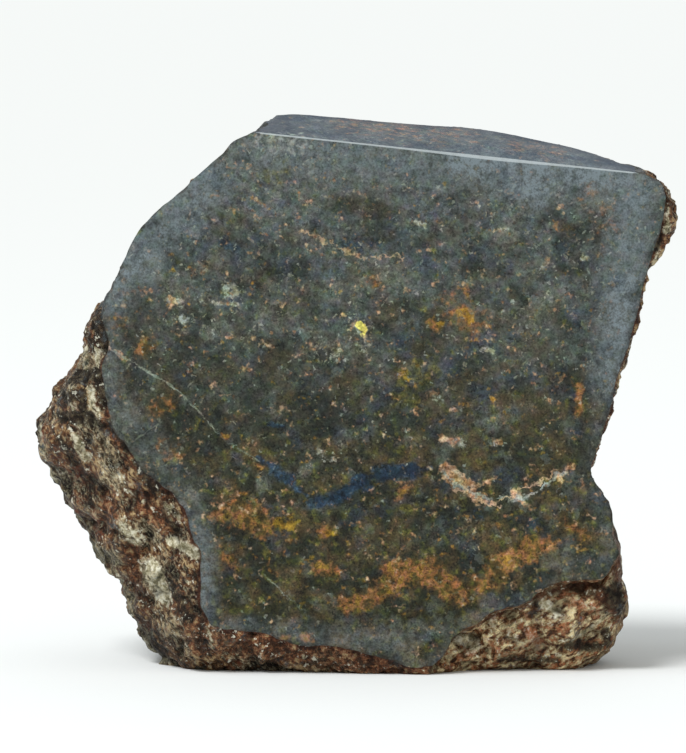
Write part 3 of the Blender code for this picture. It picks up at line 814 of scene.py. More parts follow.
def main_stone():
    """The finished stone, with all that its finishes need stored on its corners."""
    points, faces, looks, measured = build_stone_mesh()
    mesh = bpy.data.meshes.new("finished_stone")
    mesh.from_pydata(points * MM, [], faces)
    mesh.polygons.foreach_set("material_index", np.array(looks, dtype=np.int32))
    bm = bmesh.new()
    bm.from_mesh(mesh)
    bmesh.ops.recalc_face_normals(bm, faces=bm.faces[:])
    bm.to_mesh(mesh)
    bm.free()
    mesh.shade_smooth()
    mesh.set_sharp_from_angle(angle=SHARP_EDGE)

    flat = points[:, [0, 2]]
    normals = read(mesh.vertex_normals, "vector", 3)
    shares = regions(points)
    for name, spots in CUT_SPOTS.items():
        store(mesh, name, closeness(flat, spots))
    seen = smooth_step(0.0, IN_SIGHT, -normals[:, 1]) * (1.0 - shares["back"])
    for name, spots in FRONT_SPOTS.items():
        store(mesh, name, closeness(flat, spots) * seen)
    for name, line in VEINS.items():
        store(mesh, name, along_vein(flat, line))
    store(mesh, "lift", 0.5 + measured["lift"] / (LIFT_SPAN + BACK_SPAN * shares["back"]))
    for name in ("edge", "rear"):
        store(mesh, name, np.minimum(measured[name], EDGE_FAR))
    store(mesh, "flow", flow(points, shares["chip"]))
    store(mesh, "chip", shares["chip"])
    store(mesh, "behind", shares["back"])
    stone = bpy.data.objects.new("stone", mesh)
    bpy.context.scene.collection.objects.link(stone)
    return stone


# Building node trees

def srgb(red, green, blue):
    """A colour given as 0 to 255 values of a picture, as the shader wants it."""
    linear = [value / 255.0 / 12.92 if value <= 10.3 else ((value / 255.0 + 0.055) / 1.055) ** 2.4
              for value in (red, green, blue)]
    return (*linear, 1.0)


class Tree:
    """Adds nodes to a tree; a call gives back the output of the last node that it adds."""

    def __init__(self, tree):
        self.tree = tree

    def put(self, value, socket):
        if isinstance(value, bpy.types.NodeSocket):
            self.tree.links.new(value, socket)
        else:
            socket.default_value = value

    def node(self, kind, inputs=(), **settings):
        """A new node with its settings, fed at the inputs that are given by name or number."""
        made = self.tree.nodes.new("ShaderNode" + kind)
        for name, value in settings.items():
            setattr(made, name, value)
        for socket, value in dict(inputs).items():
            self.put(value, made.inputs[socket])
        return made

    def maths(self, operation, *values):
        return self.node("Math", enumerate(values), operation=operation).outputs[0]

    def vectors(self, operation, *values):
        return self.node("VectorMath", enumerate(values), operation=operation).outputs["Vector"]

    def scaled(self, vector, amount):
        return self.node("VectorMath", {0: vector, "Scale": amount}, operation="SCALE").outputs["Vector"]

    def channels(self, colour):
        return tuple(self.node("SeparateColor", {"Color": colour}).outputs)

    def axis(self, vector, name):
        return self.node("SeparateXYZ", {"Vector": vector}).outputs[name]

    def mix(self, share, first, second):
        return self.node("Mix", {"Factor": share, 6: first, 7: second}, data_type="RGBA",
                         clamp_factor=True).outputs[2]

    def smooth(self, value, low, high, start=0.0, end=1.0):
        """From start to end as the value goes from low to high."""
        inputs = {"Value": value, "From Min": low, "From Max": high, "To Min": start, "To Max": end}
        return self.node("MapRange", inputs, interpolation_type="SMOOTHSTEP",
                         clamp=True).outputs["Result"]

    def stored(self, name, output="Fac"):
        """A number or vector kept on the mesh."""
        return self.node("Attribute", attribute_name=name).outputs[output]

    def shared(self, group, **values):
        """Places a shared effect, with its own values; gives back its outputs."""
        inputs = {name.replace("_", " ").capitalize(): value for name, value in values.items()}
        return self.node("Group", inputs, node_tree=group).outputs

    def sampled(self, places, size, seed):
        """A texture's inputs for features of the given size; a seed makes it run differently."""
        if seed:
            places = self.vectors("ADD", places, (7.3 * seed, 3.1 * seed, 5.7 * seed))
        in_socket = isinstance(size, bpy.types.NodeSocket)
        return {"Vector": places, "Scale": self.maths("DIVIDE", 1.0, size) if in_socket else 1.0 / size}

    def cloud(self, places, size, detail=2.0, rough=0.5, seed=0.0, colour=False):
        """Soft noise, 0 to 1 about 0.5, whose features have the given size in millimetres."""
        inputs = self.sampled(places, size, seed) | {"Detail": detail, "Roughness": rough}
        made = self.node("TexNoise", inputs, noise_dimensions="3D")
        return made.outputs["Color" if colour else "Fac"]

    def clouds(self, places, size, **settings):
        """Three soft noises of one size."""
        return self.channels(self.cloud(places, size, colour=True, **settings))

    def cells(self, places, size, seed=0.0):
        """Random cells of the given size: distance from each middle, and a random colour each."""
        made = self.node("TexVoronoi", self.sampled(places, size, seed), voronoi_dimensions="3D")
        return made.outputs["Distance"], made.outputs["Color"]

    def ramp(self, value, *stops):
        """A colour ramp with stops of place and colour."""
        made = self.node("ValToRGB", {"Fac": value})
        band = made.color_ramp.elements
        while len(band) < len(stops):
            band.new(0.5)
        for element, (place, colour) in zip(band, stops):
            element.position = place
            element.color = colour
        return made.outputs["Color"]

    def fresh(self, random, factor):
        """Another random number from 0 to 1 for the same grain."""
        return self.maths("FRACT", self.maths("MULTIPLY", random, factor))

    def called(self, random, share, soft=0.08):
        """The grains whose random number lies under a share, with a soft start."""
        return self.smooth(self.maths("SUBTRACT", share, random), 0.0, soft)

    def product(self, *values):
        result = values[0]
        for value in values[1:]:
            result = self.maths("MULTIPLY", result, value)
        return result

    def total(self, first, *others):
        """A value plus others, each of them given with its weight."""
        for value, weight in others:
            first = self.maths("MULTIPLY_ADD", value, weight, first)
        return first

    def stirred(self, value, noise, amount):
        """A value moved up and down by a noise about 0.5."""
        return self.maths("MULTIPLY_ADD", self.maths("SUBTRACT", noise, 0.5), amount, value)

    def laid(self, under, colour, level, low, high, share):
        """A colour laid over another, up to a share, where a level goes from low to high."""
        return self.mix(self.smooth(level, low, high, 0.0, share), under, colour)


def shared_effect(name, inputs, outputs):
    """An empty node group with the sockets named for each kind, and the tools to fill it."""
    group = bpy.data.node_groups.new(name, "ShaderNodeTree")
    kinds = {"value": "NodeSocketFloat", "vector": "NodeSocketVector", "colour": "NodeSocketColor"}
    for side, sockets in (("INPUT", inputs), ("OUTPUT", outputs)):
        for kind, names in sockets.items():
            for socket in names:
                group.interface.new_socket(socket, in_out=side, socket_type=kinds[kind])
    tree = Tree(group)
    ends = group.nodes.new("NodeGroupInput"), group.nodes.new("NodeGroupOutput")
    return group, tree, ends[0].outputs, ends[1].inputs


def mineral_grain():
    """Grains packed side by side in two sizes, each with random numbers of its own."""
    group, tree, given, wanted = shared_effect(
        "mineral grain",
        {"vector": ["Places"], "value": ["Fine", "Coarse", "Bend"]},
        {"colour": ["Small", "Large", "Hue"], "value": ["Speckle", "Small body", "Large body"]})
    bend = tree.cloud(given["Places"], 0.45, detail=1.0, colour=True)
    bend = tree.scaled(tree.vectors("SUBTRACT", bend, (0.5, 0.5, 0.5)), given["Bend"])
    bent = tree.vectors("ADD", given["Places"], bend)
    near, small = tree.cells(bent, given["Fine"])
    near_large, large = tree.cells(bent, given["Coarse"], seed=5.0)
    tree.put(small, wanted["Small"])
    tree.put(large, wanted["Large"])
    speckle = tree.cloud(given["Places"], tree.product(given["Fine"], 0.7), rough=0.7, seed=3.0)
    tree.put(speckle, wanted["Speckle"])
    hue = tree.cloud(given["Places"], tree.product(given["Coarse"], 1.25), seed=6.0, colour=True)
    tree.put(hue, wanted["Hue"])
    tree.put(tree.smooth(near, 0.70, 0.35), wanted["Small body"])
    tree.put(tree.smooth(near_large, 0.75, 0.30), wanted["Large body"])
    return group


def grainy_light():
    """Gives every grain of a colour a tone of its own, and groups of grains a tint."""
    group, tree, given, wanted = shared_effect(
        "grainy light",
        {"colour": ["Colour", "Small", "Large", "Hue"], "value": ["Speckle", "Contrast", "Tint"]},
        {"colour": ["Colour"]})
    small, _, _ = tree.channels(given["Small"])
    _, large, _ = tree.channels(given["Large"])
    speckle = tree.smooth(given["Speckle"], 0.30, 0.70)
    tone = tree.total(tree.product(large, 0.24), (small, 0.38), (speckle, 0.38))
    tone = tree.stirred(1.0, tone, given["Contrast"])
    hue = tree.scaled(tree.vectors("SUBTRACT", given["Hue"], (0.5, 0.5, 0.5)), given["Tint"])
    factor = tree.vectors("ADD", tree.vectors("MAXIMUM", hue, (-0.6, -0.6, -0.6)), (1.0, 1.0, 1.0))
    lit = tree.vectors("MULTIPLY", given["Colour"], factor)
    tree.put(tree.scaled(lit, tree.maths("MAXIMUM", tone, 0.12)), wanted["Colour"])
    return group


# A vein fades out over this length at its ends, and over this much of the noise at its gaps
VEIN_END = 0.8
VEIN_GAP_BLEND = 0.07


def thin_vein():
    """A vein along a stored line: thin, a little wavy and broken here and there."""
    group, tree, given, wanted = shared_effect(
        "thin vein",
        {"vector": ["Line"], "colour": ["Noise"], "value": ["Length", "Width", "Wobble", "Gaps"]},
        {"value": ["Mask"]})
    wave, uneven, holes = tree.channels(given["Noise"])
    across, along = tree.axis(given["Line"], "X"), tree.axis(given["Line"], "Y")
    across = tree.maths("ABSOLUTE", tree.stirred(across, wave, given["Wobble"]))
    width = tree.product(given["Width"], tree.smooth(uneven, 0.25, 0.75, 0.3, 1.6))
    core = tree.smooth(across, width, tree.product(width, 0.25))
    start = tree.smooth(along, 0.0, VEIN_END)
    end = tree.smooth(along, given["Length"], tree.maths("SUBTRACT", given["Length"], VEIN_END))
    kept = tree.smooth(holes, tree.maths("SUBTRACT", given["Gaps"], VEIN_GAP_BLEND),
                       tree.maths("ADD", given["Gaps"], VEIN_GAP_BLEND))
    tree.put(tree.product(core, start, end, kept), wanted["Mask"])
    return group


GRAIN, LIGHT, VEIN = mineral_grain(), grainy_light(), thin_vein()


def new_finish(name):
    """A material with its tree tools, its shader and places in millimetres."""
    finish = bpy.data.materials.new(name)
    finish.use_nodes = True
    tree = Tree(finish.node_tree)
    shader = finish.node_tree.nodes["Principled BSDF"]
    places = tree.scaled(tree.node("TexCoord").outputs["Object"], 1.0 / MM)
    return finish, tree, shader, places


def add_bump(tree, shader, height, strength, distance):
    """Gives a shader a bump from a height; the distance is in millimetres."""
    bump = tree.node("Bump", {"Strength": strength, "Distance": distance * MM, "Height": height})
    tree.put(bump.outputs["Normal"], shader.inputs["Normal"])


def line_length(line):
    """Length of a line of places."""
    return sum(math.dist(start, end) for start, end in zip(line, line[1:]))


# The cut rock: dark grey-green breccia with rust, olive, pale and blue minerals

ROCK_LOW, ROCK_MIDDLE, ROCK_HIGH = srgb(36, 36, 18), srgb(50, 52, 40), srgb(79, 86, 83)
ROCK_DARK, ROCK_LIGHT = srgb(36, 42, 36), srgb(112, 120, 110)
ROCK_WARM, ROCK_BLUE = srgb(84, 72, 44), srgb(52, 64, 80)
# The pale blue-grey below is a painted reflection, laid where the polished face rolls over at its edges
PAINTED_REFLECTION_COLOUR, DARK_RIM_AND_PIT_SHADE = srgb(116, 127, 132), srgb(40, 28, 20)
PALE_SPECK, PALE_PATCH = srgb(146, 152, 140), srgb(130, 128, 104)
RUST_DEEP, RUST_OCHRE, RUST_BRIGHT = srgb(70, 54, 24), srgb(112, 84, 42), srgb(150, 102, 54)
RUST_PINK, RUST_YELLOW = srgb(148, 106, 70), srgb(134, 108, 44)
OCHRE_DEEP, OCHRE_BRIGHT = srgb(116, 90, 26), srgb(160, 128, 44)
OLIVE_DEEP, OLIVE_BRIGHT = srgb(58, 58, 28), srgb(104, 96, 44)
BLUE_DEEP, BLUE_LIGHT = srgb(18, 36, 50), srgb(50, 72, 90)
CREAM_VEIN_COLOUR, PALE_VEIN_COLOUR = srgb(186, 158, 124), srgb(132, 140, 124)
CREAM_DEEP, CREAM_PEACH, CREAM_WHITE = srgb(138, 100, 64), srgb(176, 142, 106), srgb(190, 172, 142)
SULPHUR_COLOUR = srgb(206, 196, 92)
# The blue laid over the sawn facet is a painted reflection of the pale surroundings
FACET_PAINTED_REFLECTION, FACET_BACK, RIDGE_WEAR_AND_PAINTED_HIGHLIGHT = srgb(68, 90, 114), srgb(38, 50, 68), srgb(186, 194, 196)

# The heights between which the rock's colour changes
GRADE = (4.0, 44.0)


def ground_mass(tree, places, large, soft):
    """Grey-green at the top and olive-brown at the foot, with soft clouds and coarse clasts."""
    height = tree.smooth(tree.axis(places, "Z"), *GRADE)
    rock = tree.ramp(height, (0.0, ROCK_LOW), (0.45, ROCK_MIDDLE), (1.0, ROCK_HIGH))
    rock = tree.laid(rock, ROCK_DARK, soft[0], 0.46, 0.64, 0.75)
    rock = tree.laid(rock, ROCK_LIGHT, soft[0], 0.46, 0.30, 0.35)
    warm = tree.smooth(height, 0.95, 0.10, 0.25, 0.75)
    rock = tree.mix(tree.product(warm, tree.smooth(soft[1], 0.44, 0.62)), rock, ROCK_WARM)
    rock = tree.laid(rock, ROCK_BLUE, soft[2], 0.52, 0.68, 0.40)
    for random, factor, called, share, colour in ((large[0], 5.7, 0.10, 0.22, ROCK_LIGHT),
                                                  (large[2], 7.9, 0.18, 0.35, ROCK_DARK)):
        clasts = tree.called(tree.fresh(random, factor), called)
        rock = tree.mix(tree.product(clasts, share), rock, colour)
    return rock, height


def minerals(tree, rock, height, grain, ragged):
    """Rust, olive, blue and pale minerals, more of them where the stored fields call them up."""
    small, large = tree.channels(grain["Small"]), tree.channels(grain["Large"])
    hue = tree.channels(grain["Hue"])
    field = tree.total(tree.stored("rust"), (tree.stored("rust_haze"), 0.42))
    patch = tree.smooth(tree.stirred(field, ragged[0], 2.3), 0.34, 1.05)
    spots = tree.product(tree.called(large[1], tree.product(field, 0.14)), grain["Large body"], 0.6)
    patch = tree.product(tree.maths("MAXIMUM", patch, spots),
                         tree.smooth(field, 0.0, 0.16, 0.22, 1.0),
                         tree.smooth(hue[2], 0.36, 0.56, 0.50, 0.90))
    rust = tree.ramp(hue[0], (0.36, RUST_DEEP), (0.45, RUST_OCHRE), (0.52, RUST_BRIGHT),
                     (0.58, RUST_PINK), (0.65, RUST_YELLOW))
    rock = tree.mix(tree.product(tree.stored("rust"), 0.45), rock, RUST_DEEP)
    rock = tree.mix(patch, rock, rust)

    share = tree.maths("ADD", tree.stored("olive"), tree.smooth(height, 0.9, 0.0, 0.05, 0.30))
    rock = tree.laid(rock, tree.ramp(ragged[1], (0.42, OLIVE_DEEP), (0.60, OLIVE_BRIGHT)),
                     tree.stirred(share, hue[1], 3.2), 0.35, 0.95, 0.60)
    rock = tree.laid(rock, tree.ramp(ragged[2], (0.38, BLUE_DEEP), (0.66, BLUE_LIGHT)),
                     tree.stirred(tree.stored("blue"), ragged[1], 1.6), 0.25, 0.80, 0.85)

    pale = tree.stored("pale")
    share = tree.total(tree.smooth(height, 0.0, 1.0, 0.05, 0.10), (pale, 0.35))
    specks = tree.product(tree.called(tree.fresh(small[2], 11.3), share), grain["Small body"], 0.50)
    patch = tree.smooth(tree.stirred(pale, ragged[2], 3.0), 0.45, 1.05, 0.0, 0.85)
    rock = tree.mix(tree.maths("MAXIMUM", specks, patch), rock,
                    tree.ramp(small[0], (0.2, PALE_PATCH), (0.9, PALE_SPECK)))
    ochre = tree.ramp(hue[2], (0.42, OCHRE_DEEP), (0.58, OCHRE_BRIGHT))
    cream = tree.ramp(ragged[0], (0.38, CREAM_DEEP), (0.50, CREAM_PEACH), (0.68, CREAM_WHITE))
    for name, noise_here, amount, low, high, share, colour in (
            ("ochre", ragged[0], 2.4, 0.30, 0.90, 0.90, ochre),
            ("cream", ragged[1], 2.6, 0.30, 0.80, 0.90, cream),
            ("sulphur", ragged[2], 1.6, 0.40, 0.80, 0.85, SULPHUR_COLOUR)):
        level = tree.stirred(tree.stored(name), noise_here, amount)
        rock = tree.laid(rock, colour, level, low, high, share)
    # Painted shade in the tiny pits, as dark dots
    return tree.laid(rock, DARK_RIM_AND_PIT_SHADE, tree.stored("painted_pit_shade"), 0.25, 0.60, 0.90)


def veins(tree, places, rock):
    """The pale, blue and cream veins, each with its colour and the measures of its line."""
    noise_here = tree.cloud(places, 0.9, detail=3.0, rough=0.6, seed=9.0, colour=True)
    for name, colour, width, wobble, gaps, strength in (
            ("blue_vein", BLUE_DEEP, 0.80, 2.0, 0.34, 0.72),
            ("pale_vein", PALE_VEIN_COLOUR, 0.14, 0.7, 0.42, 0.72),
            ("faint_vein", PALE_VEIN_COLOUR, 0.10, 0.8, 0.44, 0.34),
            ("second_vein", PALE_VEIN_COLOUR, 0.12, 0.5, 0.42, 0.45),
            ("cream_vein", PALE_SPECK, 0.27, 2.0, 0.43, 0.80),
            ("cream_strand", CREAM_VEIN_COLOUR, 0.20, 2.2, 0.44, 0.80),
            ("upper_vein", CREAM_VEIN_COLOUR, 0.18, 1.8, 0.46, 0.50),
            ("lower_vein", PALE_VEIN_COLOUR, 0.13, 0.8, 0.42, 0.45)):
        vein = tree.shared(VEIN, line=tree.stored(name, "Vector"), noise=noise_here,
                           length=line_length(VEINS[name]), width=width, wobble=wobble, gaps=gaps)
        rock = tree.mix(tree.product(vein["Mask"], strength), rock, colour)
    return rock


# A cut surface's look: strength of its painted reflection, a tint and its share, contrast of the
# grains, roughness and shine. The tint is a painted reflection on the sawn facet and, with wear, a
# painted highlight on the worn ridge. Its grains are drawn out from front to back where the depth
# share is under 1, and it darkens towards its back edge by the rear share.
CutLook = namedtuple(
    "CutLook", "name haze tint tint_share contrast roughness shine depth_share rear_share")


def cut_rock(look):
    """A sawn and polished surface of the rock, with its own painted reflection and tint."""
    finish, tree, shader, places = new_finish(look.name)
    places = tree.vectors("MULTIPLY", places, (1.0, look.depth_share, 1.0))
    grain = tree.shared(GRAIN, places=places, fine=0.29, coarse=0.75, bend=0.9)
    large = tree.channels(grain["Large"])
    soft = tree.clouds(places, 2.6, detail=3.0, seed=21.0)
    ragged = tree.clouds(places, 0.75, detail=2.0, rough=0.55, seed=4.0)
    wide = tree.clouds(places, 7.0, detail=2.0, seed=33.0)
    rock, height = ground_mass(tree, places, large, soft)
    rock = tree.mix(tree.product(tree.stored("shade"), 0.45), rock, ROCK_DARK)
    rock = minerals(tree, rock, height, grain, ragged)
    rock = veins(tree, places, rock)
    rock = tree.shared(LIGHT, colour=rock, small=grain["Small"], large=grain["Large"],
                       speckle=grain["Speckle"], hue=grain["Hue"],
                       contrast=tree.smooth(height, 0.2, 0.9, look.contrast, 0.80 * look.contrast),
                       tint=0.62)["Colour"]
    light = tree.product(tree.smooth(wide[0], 0.38, 0.62, 0.85, 1.14),
                         tree.smooth(ragged[2], 0.32, 0.68, 0.88, 1.13))
    rock = tree.scaled(rock, light)

    edge = tree.stored("edge")
    # Painted reflection: a pale blue-grey sheen along the face's rolled edge and in the listed stretches
    band = tree.smooth(tree.stirred(edge, ragged[1], 1.4), 1.8, 0.1, 0.0, 0.18)
    painted_reflection_share = tree.maths("MAXIMUM", tree.product(tree.stored("haze"), look.haze), band)
    painted_reflection_share = tree.product(painted_reflection_share, tree.smooth(ragged[2], 0.30, 0.62, 0.35, 1.1),
                        tree.smooth(soft[1], 0.34, 0.62, 0.55, 1.15),
                        tree.smooth(grain["Speckle"], 0.32, 0.66, 0.55, 1.30))
    rock = tree.mix(painted_reflection_share, rock, PAINTED_REFLECTION_COLOUR)
    rock = tree.mix(look.tint_share, rock, look.tint)
    if look.rear_share:
        behind = tree.stirred(tree.stored("rear"), ragged[0], 0.9)
        rock = tree.laid(rock, FACET_BACK, behind, 3.6, 0.2, look.rear_share)
    rock = tree.laid(rock, DARK_RIM_AND_PIT_SHADE, tree.stirred(edge, ragged[1], 1.3), 0.12, 0.0, 0.45)
    tree.put(rock, shader.inputs["Base Color"])

    rub = tree.smooth(soft[2], 0.3, 0.7, -0.05, 0.07)
    tree.put(tree.maths("ADD", rub, look.roughness), shader.inputs["Roughness"])
    add_bump(tree, shader, grain["Large body"], 0.25, 0.02)
    shader.inputs["Specular IOR Level"].default_value = look.shine
    return finish


# The weathered crust: brown-black skin with cream caliche in its hollows

CRUST_BLACK, CRUST_MAROON = srgb(32, 21, 12), srgb(64, 40, 24)
CRUST_BROWN, CRUST_TAN = srgb(92, 62, 38), srgb(158, 134, 96)
MAROON_DARK, MAROON_RED, MAROON_LIGHT = srgb(48, 28, 16), srgb(84, 52, 32), srgb(124, 76, 50)
CRUST_OLIVE, CRUST_GREY = srgb(72, 70, 44), srgb(116, 118, 98)
CRUST_ORANGE, CRUST_RED = srgb(146, 92, 48), srgb(112, 58, 36)
CALICHE_COLOUR, CALICHE_SHADE = srgb(184, 176, 146), srgb(118, 112, 84)
# The palest caliche white also paints glints, small highlights on the crests
CALICHE_AND_GLINT_WHITE = srgb(230, 227, 206)
VARNISH_DARK, VARNISH, VARNISH_OLIVE = srgb(28, 22, 15), srgb(46, 37, 26), srgb(82, 76, 58)
# Colours of the ledge wall as it lies in shadow: painted shade over dark red-brown varnish
SHADED_LEDGE_DARK, SHADED_LEDGE_RED, SHADED_LEDGE_BROWN = srgb(40, 18, 8), srgb(64, 34, 20), srgb(98, 64, 44)
SAWN_GREY = srgb(84, 90, 94)
CHIP_DARK, CHIP_BROWN = srgb(62, 38, 22), srgb(112, 74, 48)
CHIP_OLIVE, CHIP_GREY = srgb(146, 124, 86), srgb(174, 160, 128)
CHIP_CREAM_COLOUR = srgb(232, 212, 162)
CHIP_ORANGE, CHIP_PINK = srgb(176, 110, 72), srgb(186, 150, 128)


def crust_skin(tree, broad, fine, streak, grain, lift, behind):
    """The dark varnished skin, paler on its crests, with reddish, olive and grey areas."""
    tone = tree.total(tree.product(fine[0], 0.42), (streak[0], 0.38), (broad[0], 0.20))
    tone = tree.stirred(tree.stirred(tone, lift, 0.16), grain, 0.09)
    crust = tree.ramp(tone, (0.46, CRUST_BLACK), (0.51, CRUST_MAROON), (0.56, CRUST_BROWN),
                      (0.62, CRUST_TAN))
    pale = tree.ramp(tone, (0.44, CRUST_BLACK), (0.49, CRUST_OLIVE), (0.54, CRUST_GREY),
                     (0.60, CALICHE_COLOUR))
    share = tree.product(tree.smooth(broad[1], 0.48, 0.60), tree.smooth(behind, 0.0, 1.0, 0.30, 0.55))
    crust = tree.mix(share, crust, pale)
    red = tree.product(tree.smooth(broad[2], 0.52, 0.64), tree.smooth(fine[1], 0.42, 0.56))
    return tree.mix(tree.product(red, 0.6), crust, CRUST_RED)


def chip_rock(tree, fine, streak, grain):
    """The broken rock of the chip, brown to cream, with rusty patches."""
    mottle = tree.total(tree.product(fine[2], 0.4), (streak[2], 0.6))
    broken = tree.ramp(tree.stirred(mottle, grain, 0.07), (0.43, CHIP_DARK), (0.47, CHIP_BROWN),
                       (0.50, CHIP_OLIVE), (0.54, CHIP_GREY), (0.59, CHIP_CREAM_COLOUR))
    broken = tree.laid(broken, CHIP_ORANGE, fine[1], 0.52, 0.60, 0.6)
    rust = tree.ramp(fine[2], (0.42, CHIP_BROWN), (0.50, CHIP_ORANGE), (0.60, CHIP_PINK))
    return tree.laid(broken, rust, tree.stirred(tree.stored("chip_rust"), fine[0], 2.6),
                     0.30, 0.90, 0.80)


def weathered_crust():
    """Dark varnished skin with a fine cream net, flecks, and caliche in hollows and in patches."""
    finish, tree, shader, places = new_finish("weathered crust")
    lift, chip, edge = tree.stored("lift"), tree.stored("chip"), tree.stored("edge")
    behind = tree.stored("behind")
    broad = tree.clouds(places, 3.4, detail=5.0, rough=0.55, seed=71.0)
    fine = tree.clouds(places, 0.65, detail=4.0, rough=0.70, seed=73.0)
    streak = tree.clouds(tree.stored("flow", "Vector"), 0.55, detail=3.0, rough=0.62, seed=75.0)
    areas = tree.clouds(places, 9.0, detail=1.0, seed=79.0)
    grain = tree.channels(tree.cells(tree.stored("flow", "Vector"), 0.30, seed=77.0)[1])
    crust = crust_skin(tree, broad, fine, streak, grain[0], lift, behind)

    # The cream net, the flecks and the reddish patches
    thread = tree.smooth(tree.maths("ABSOLUTE", tree.maths("SUBTRACT", streak[1], 0.5)), 0.030, 0.006)
    thread = tree.product(thread, tree.smooth(broad[1], 0.40, 0.58, 0.15, 1.0), 0.55)
    crust = tree.mix(thread, crust, CALICHE_COLOUR)
    flecks = tree.ramp(broad[0], (0.38, CALICHE_COLOUR), (0.50, CRUST_GREY), (0.60, CRUST_ORANGE))
    crust = tree.mix(tree.product(tree.called(fine[2], 0.40, soft=0.06), 0.65), crust, flecks)
    maroon = tree.ramp(tree.stirred(fine[0], grain[2], 0.08), (0.43, MAROON_DARK),
                       (0.50, MAROON_RED), (0.57, MAROON_LIGHT), (0.64, CRUST_TAN))
    crust = tree.laid(crust, maroon, tree.stirred(tree.stored("maroon"), fine[1], 1.8),
                      0.25, 0.70, 0.85)
    broken = chip_rock(tree, fine, streak, grain[1])
    crust = tree.mix(tree.product(chip, 0.92), crust, broken)

    # Caliche, in the hollows and where it is stored
    hollow = tree.product(tree.smooth(lift, 0.56, 0.36), tree.smooth(areas[1], 0.44, 0.58),
                          tree.smooth(behind, 0.0, 1.0, 0.40, 1.10))
    field = tree.maths("MAXIMUM", tree.stored("caliche"), tree.stored("chip_cream"))
    field = tree.stirred(tree.maths("MAXIMUM", field, hollow), fine[1], 2.2)
    caliche = tree.smooth(tree.stirred(field, streak[0], 2.0), 0.45, 1.05)
    chalk = tree.ramp(fine[0], (0.40, CALICHE_SHADE), (0.50, CALICHE_COLOUR), (0.62, CALICHE_AND_GLINT_WHITE))
    crust = tree.mix(tree.product(caliche, 0.85), crust, chalk)

    # The dark ledge, painted shadow over dark varnish along the polished face's edge; the black
    #     # varnish; painted glints; and what the saw took off
    rim = tree.smooth(tree.stirred(edge, fine[0], 1.2), tree.smooth(chip, 0.0, 1.0, 0.45, 1.25), 0.15)
    ledge_varnish_and_shadow = tree.smooth(tree.stirred(tree.stored("ledge_varnish_and_shadow"), fine[2], 1.6), 0.25, 0.75)
    ledge_varnish_and_shadow = tree.product(tree.maths("MAXIMUM", rim, ledge_varnish_and_shadow), 0.85)
    crust = tree.mix(ledge_varnish_and_shadow, crust, tree.ramp(
        fine[0], (0.40, SHADED_LEDGE_DARK), (0.50, SHADED_LEDGE_RED), (0.60, SHADED_LEDGE_BROWN)))
    varnish = tree.ramp(fine[0], (0.46, VARNISH_DARK), (0.54, VARNISH), (0.63, VARNISH_OLIVE))
    crust = tree.laid(crust, varnish, tree.stirred(tree.stored("black"), fine[2], 1.6),
                      0.20, 0.60, 0.92)
    # Painted highlights: tiny white glints on the crests
    painted_glints = tree.product(tree.smooth(fine[2], 0.59, 0.66), tree.smooth(lift, 0.40, 0.60), 0.66)
    crust = tree.mix(painted_glints, crust, CALICHE_AND_GLINT_WHITE)
    sawn = tree.maths("MAXIMUM", tree.stored("sawn"), tree.stored("grey_rim"))
    sawn = tree.stirred(tree.stirred(sawn, fine[1], 1.6), broad[0], 1.8)
    crust = tree.laid(crust, tree.ramp(fine[0], (0.36, ROCK_DARK), (0.60, SAWN_GREY)),
                      sawn, 0.15, 0.50, 0.90)
    # Painted shade: darker in the hollows by the stored lift; larger areas are darker or lighter at
    # random
    shade = tree.product(tree.smooth(lift, 0.22, 0.66, 0.38, 1.06),
                         tree.smooth(areas[0], 0.36, 0.62, 0.82, 1.18))
    tree.put(tree.scaled(crust, shade), shader.inputs["Base Color"])

    gloss = tree.smooth(fine[1], 0.40, 0.60, 0.26, 0.58)
    tree.put(tree.total(gloss, (caliche, 0.35)), shader.inputs["Roughness"])
    crumble = tree.cloud(places, 0.26, detail=3.0, rough=0.7, seed=83.0)
    rough = tree.total(crumble, (streak[0], 1.0), (fine[0], 1.4))
    add_bump(tree, shader, rough, 1.0, 0.16)
    shader.inputs["Specular IOR Level"].default_value = 0.13
    return finish


LOOKS = [
    CutLook("polished face", 0.82, PAINTED_REFLECTION_COLOUR, 0.0, 1.9, 0.30, 0.17, 1.0, 0.0),
    CutLook("sawn facet", 0.3, FACET_PAINTED_REFLECTION, 0.35, 4.4, 0.32, 0.04, 0.5, 0.70),
    # The ridge's pale tint is partly wear and partly a painted highlight along its round
    CutLook("worn ridge with painted highlight", 0.7, RIDGE_WEAR_AND_PAINTED_HIGHLIGHT, 0.62, 2.2, 0.30, 0.20, 1.0, 0.0),
]


def dress(stone):
    """Gives the stone its finishes, in the order of its material numbers."""
    for look in LOOKS:
        stone.data.materials.append(cut_rock(look))
    stone.data.materials.append(weathered_crust())


# The bake's map: the front gets the most of it. Each chart is looked at along one axis.
# Its place on the map and the map's size are in pixels, its scale in pixels to a millimetre.

MAP_SIZE = 1024.0
MAP_GAP = 6.0
CHARTS = {
    "front": {"way": (0, -1, 0), "across": 0, "up": 2, "corner": (0.0, 0.0), "scale": 11.8},
    "back": {"way": (0, 1, 0), "across": 0, "up": 2, "corner": (0.0, 632.0), "scale": 7.2},
    "left": {"way": (-1, 0, 0), "across": 1, "up": 2, "corner": (452.0, 632.0), "scale": 7.2},
    "right": {"way": (1, 0, 0), "across": 1, "up": 2, "corner": (634.0, 632.0), "scale": 7.2},
    "under": {"way": (0, 0, -1), "across": 1, "up": 0, "corner": (734.0, 0.0), "scale": 6.6},
    "top": {"way": (0, 0, 1), "across": 1, "up": 0, "corner": (836.0, 632.0), "scale": 6.2},
}


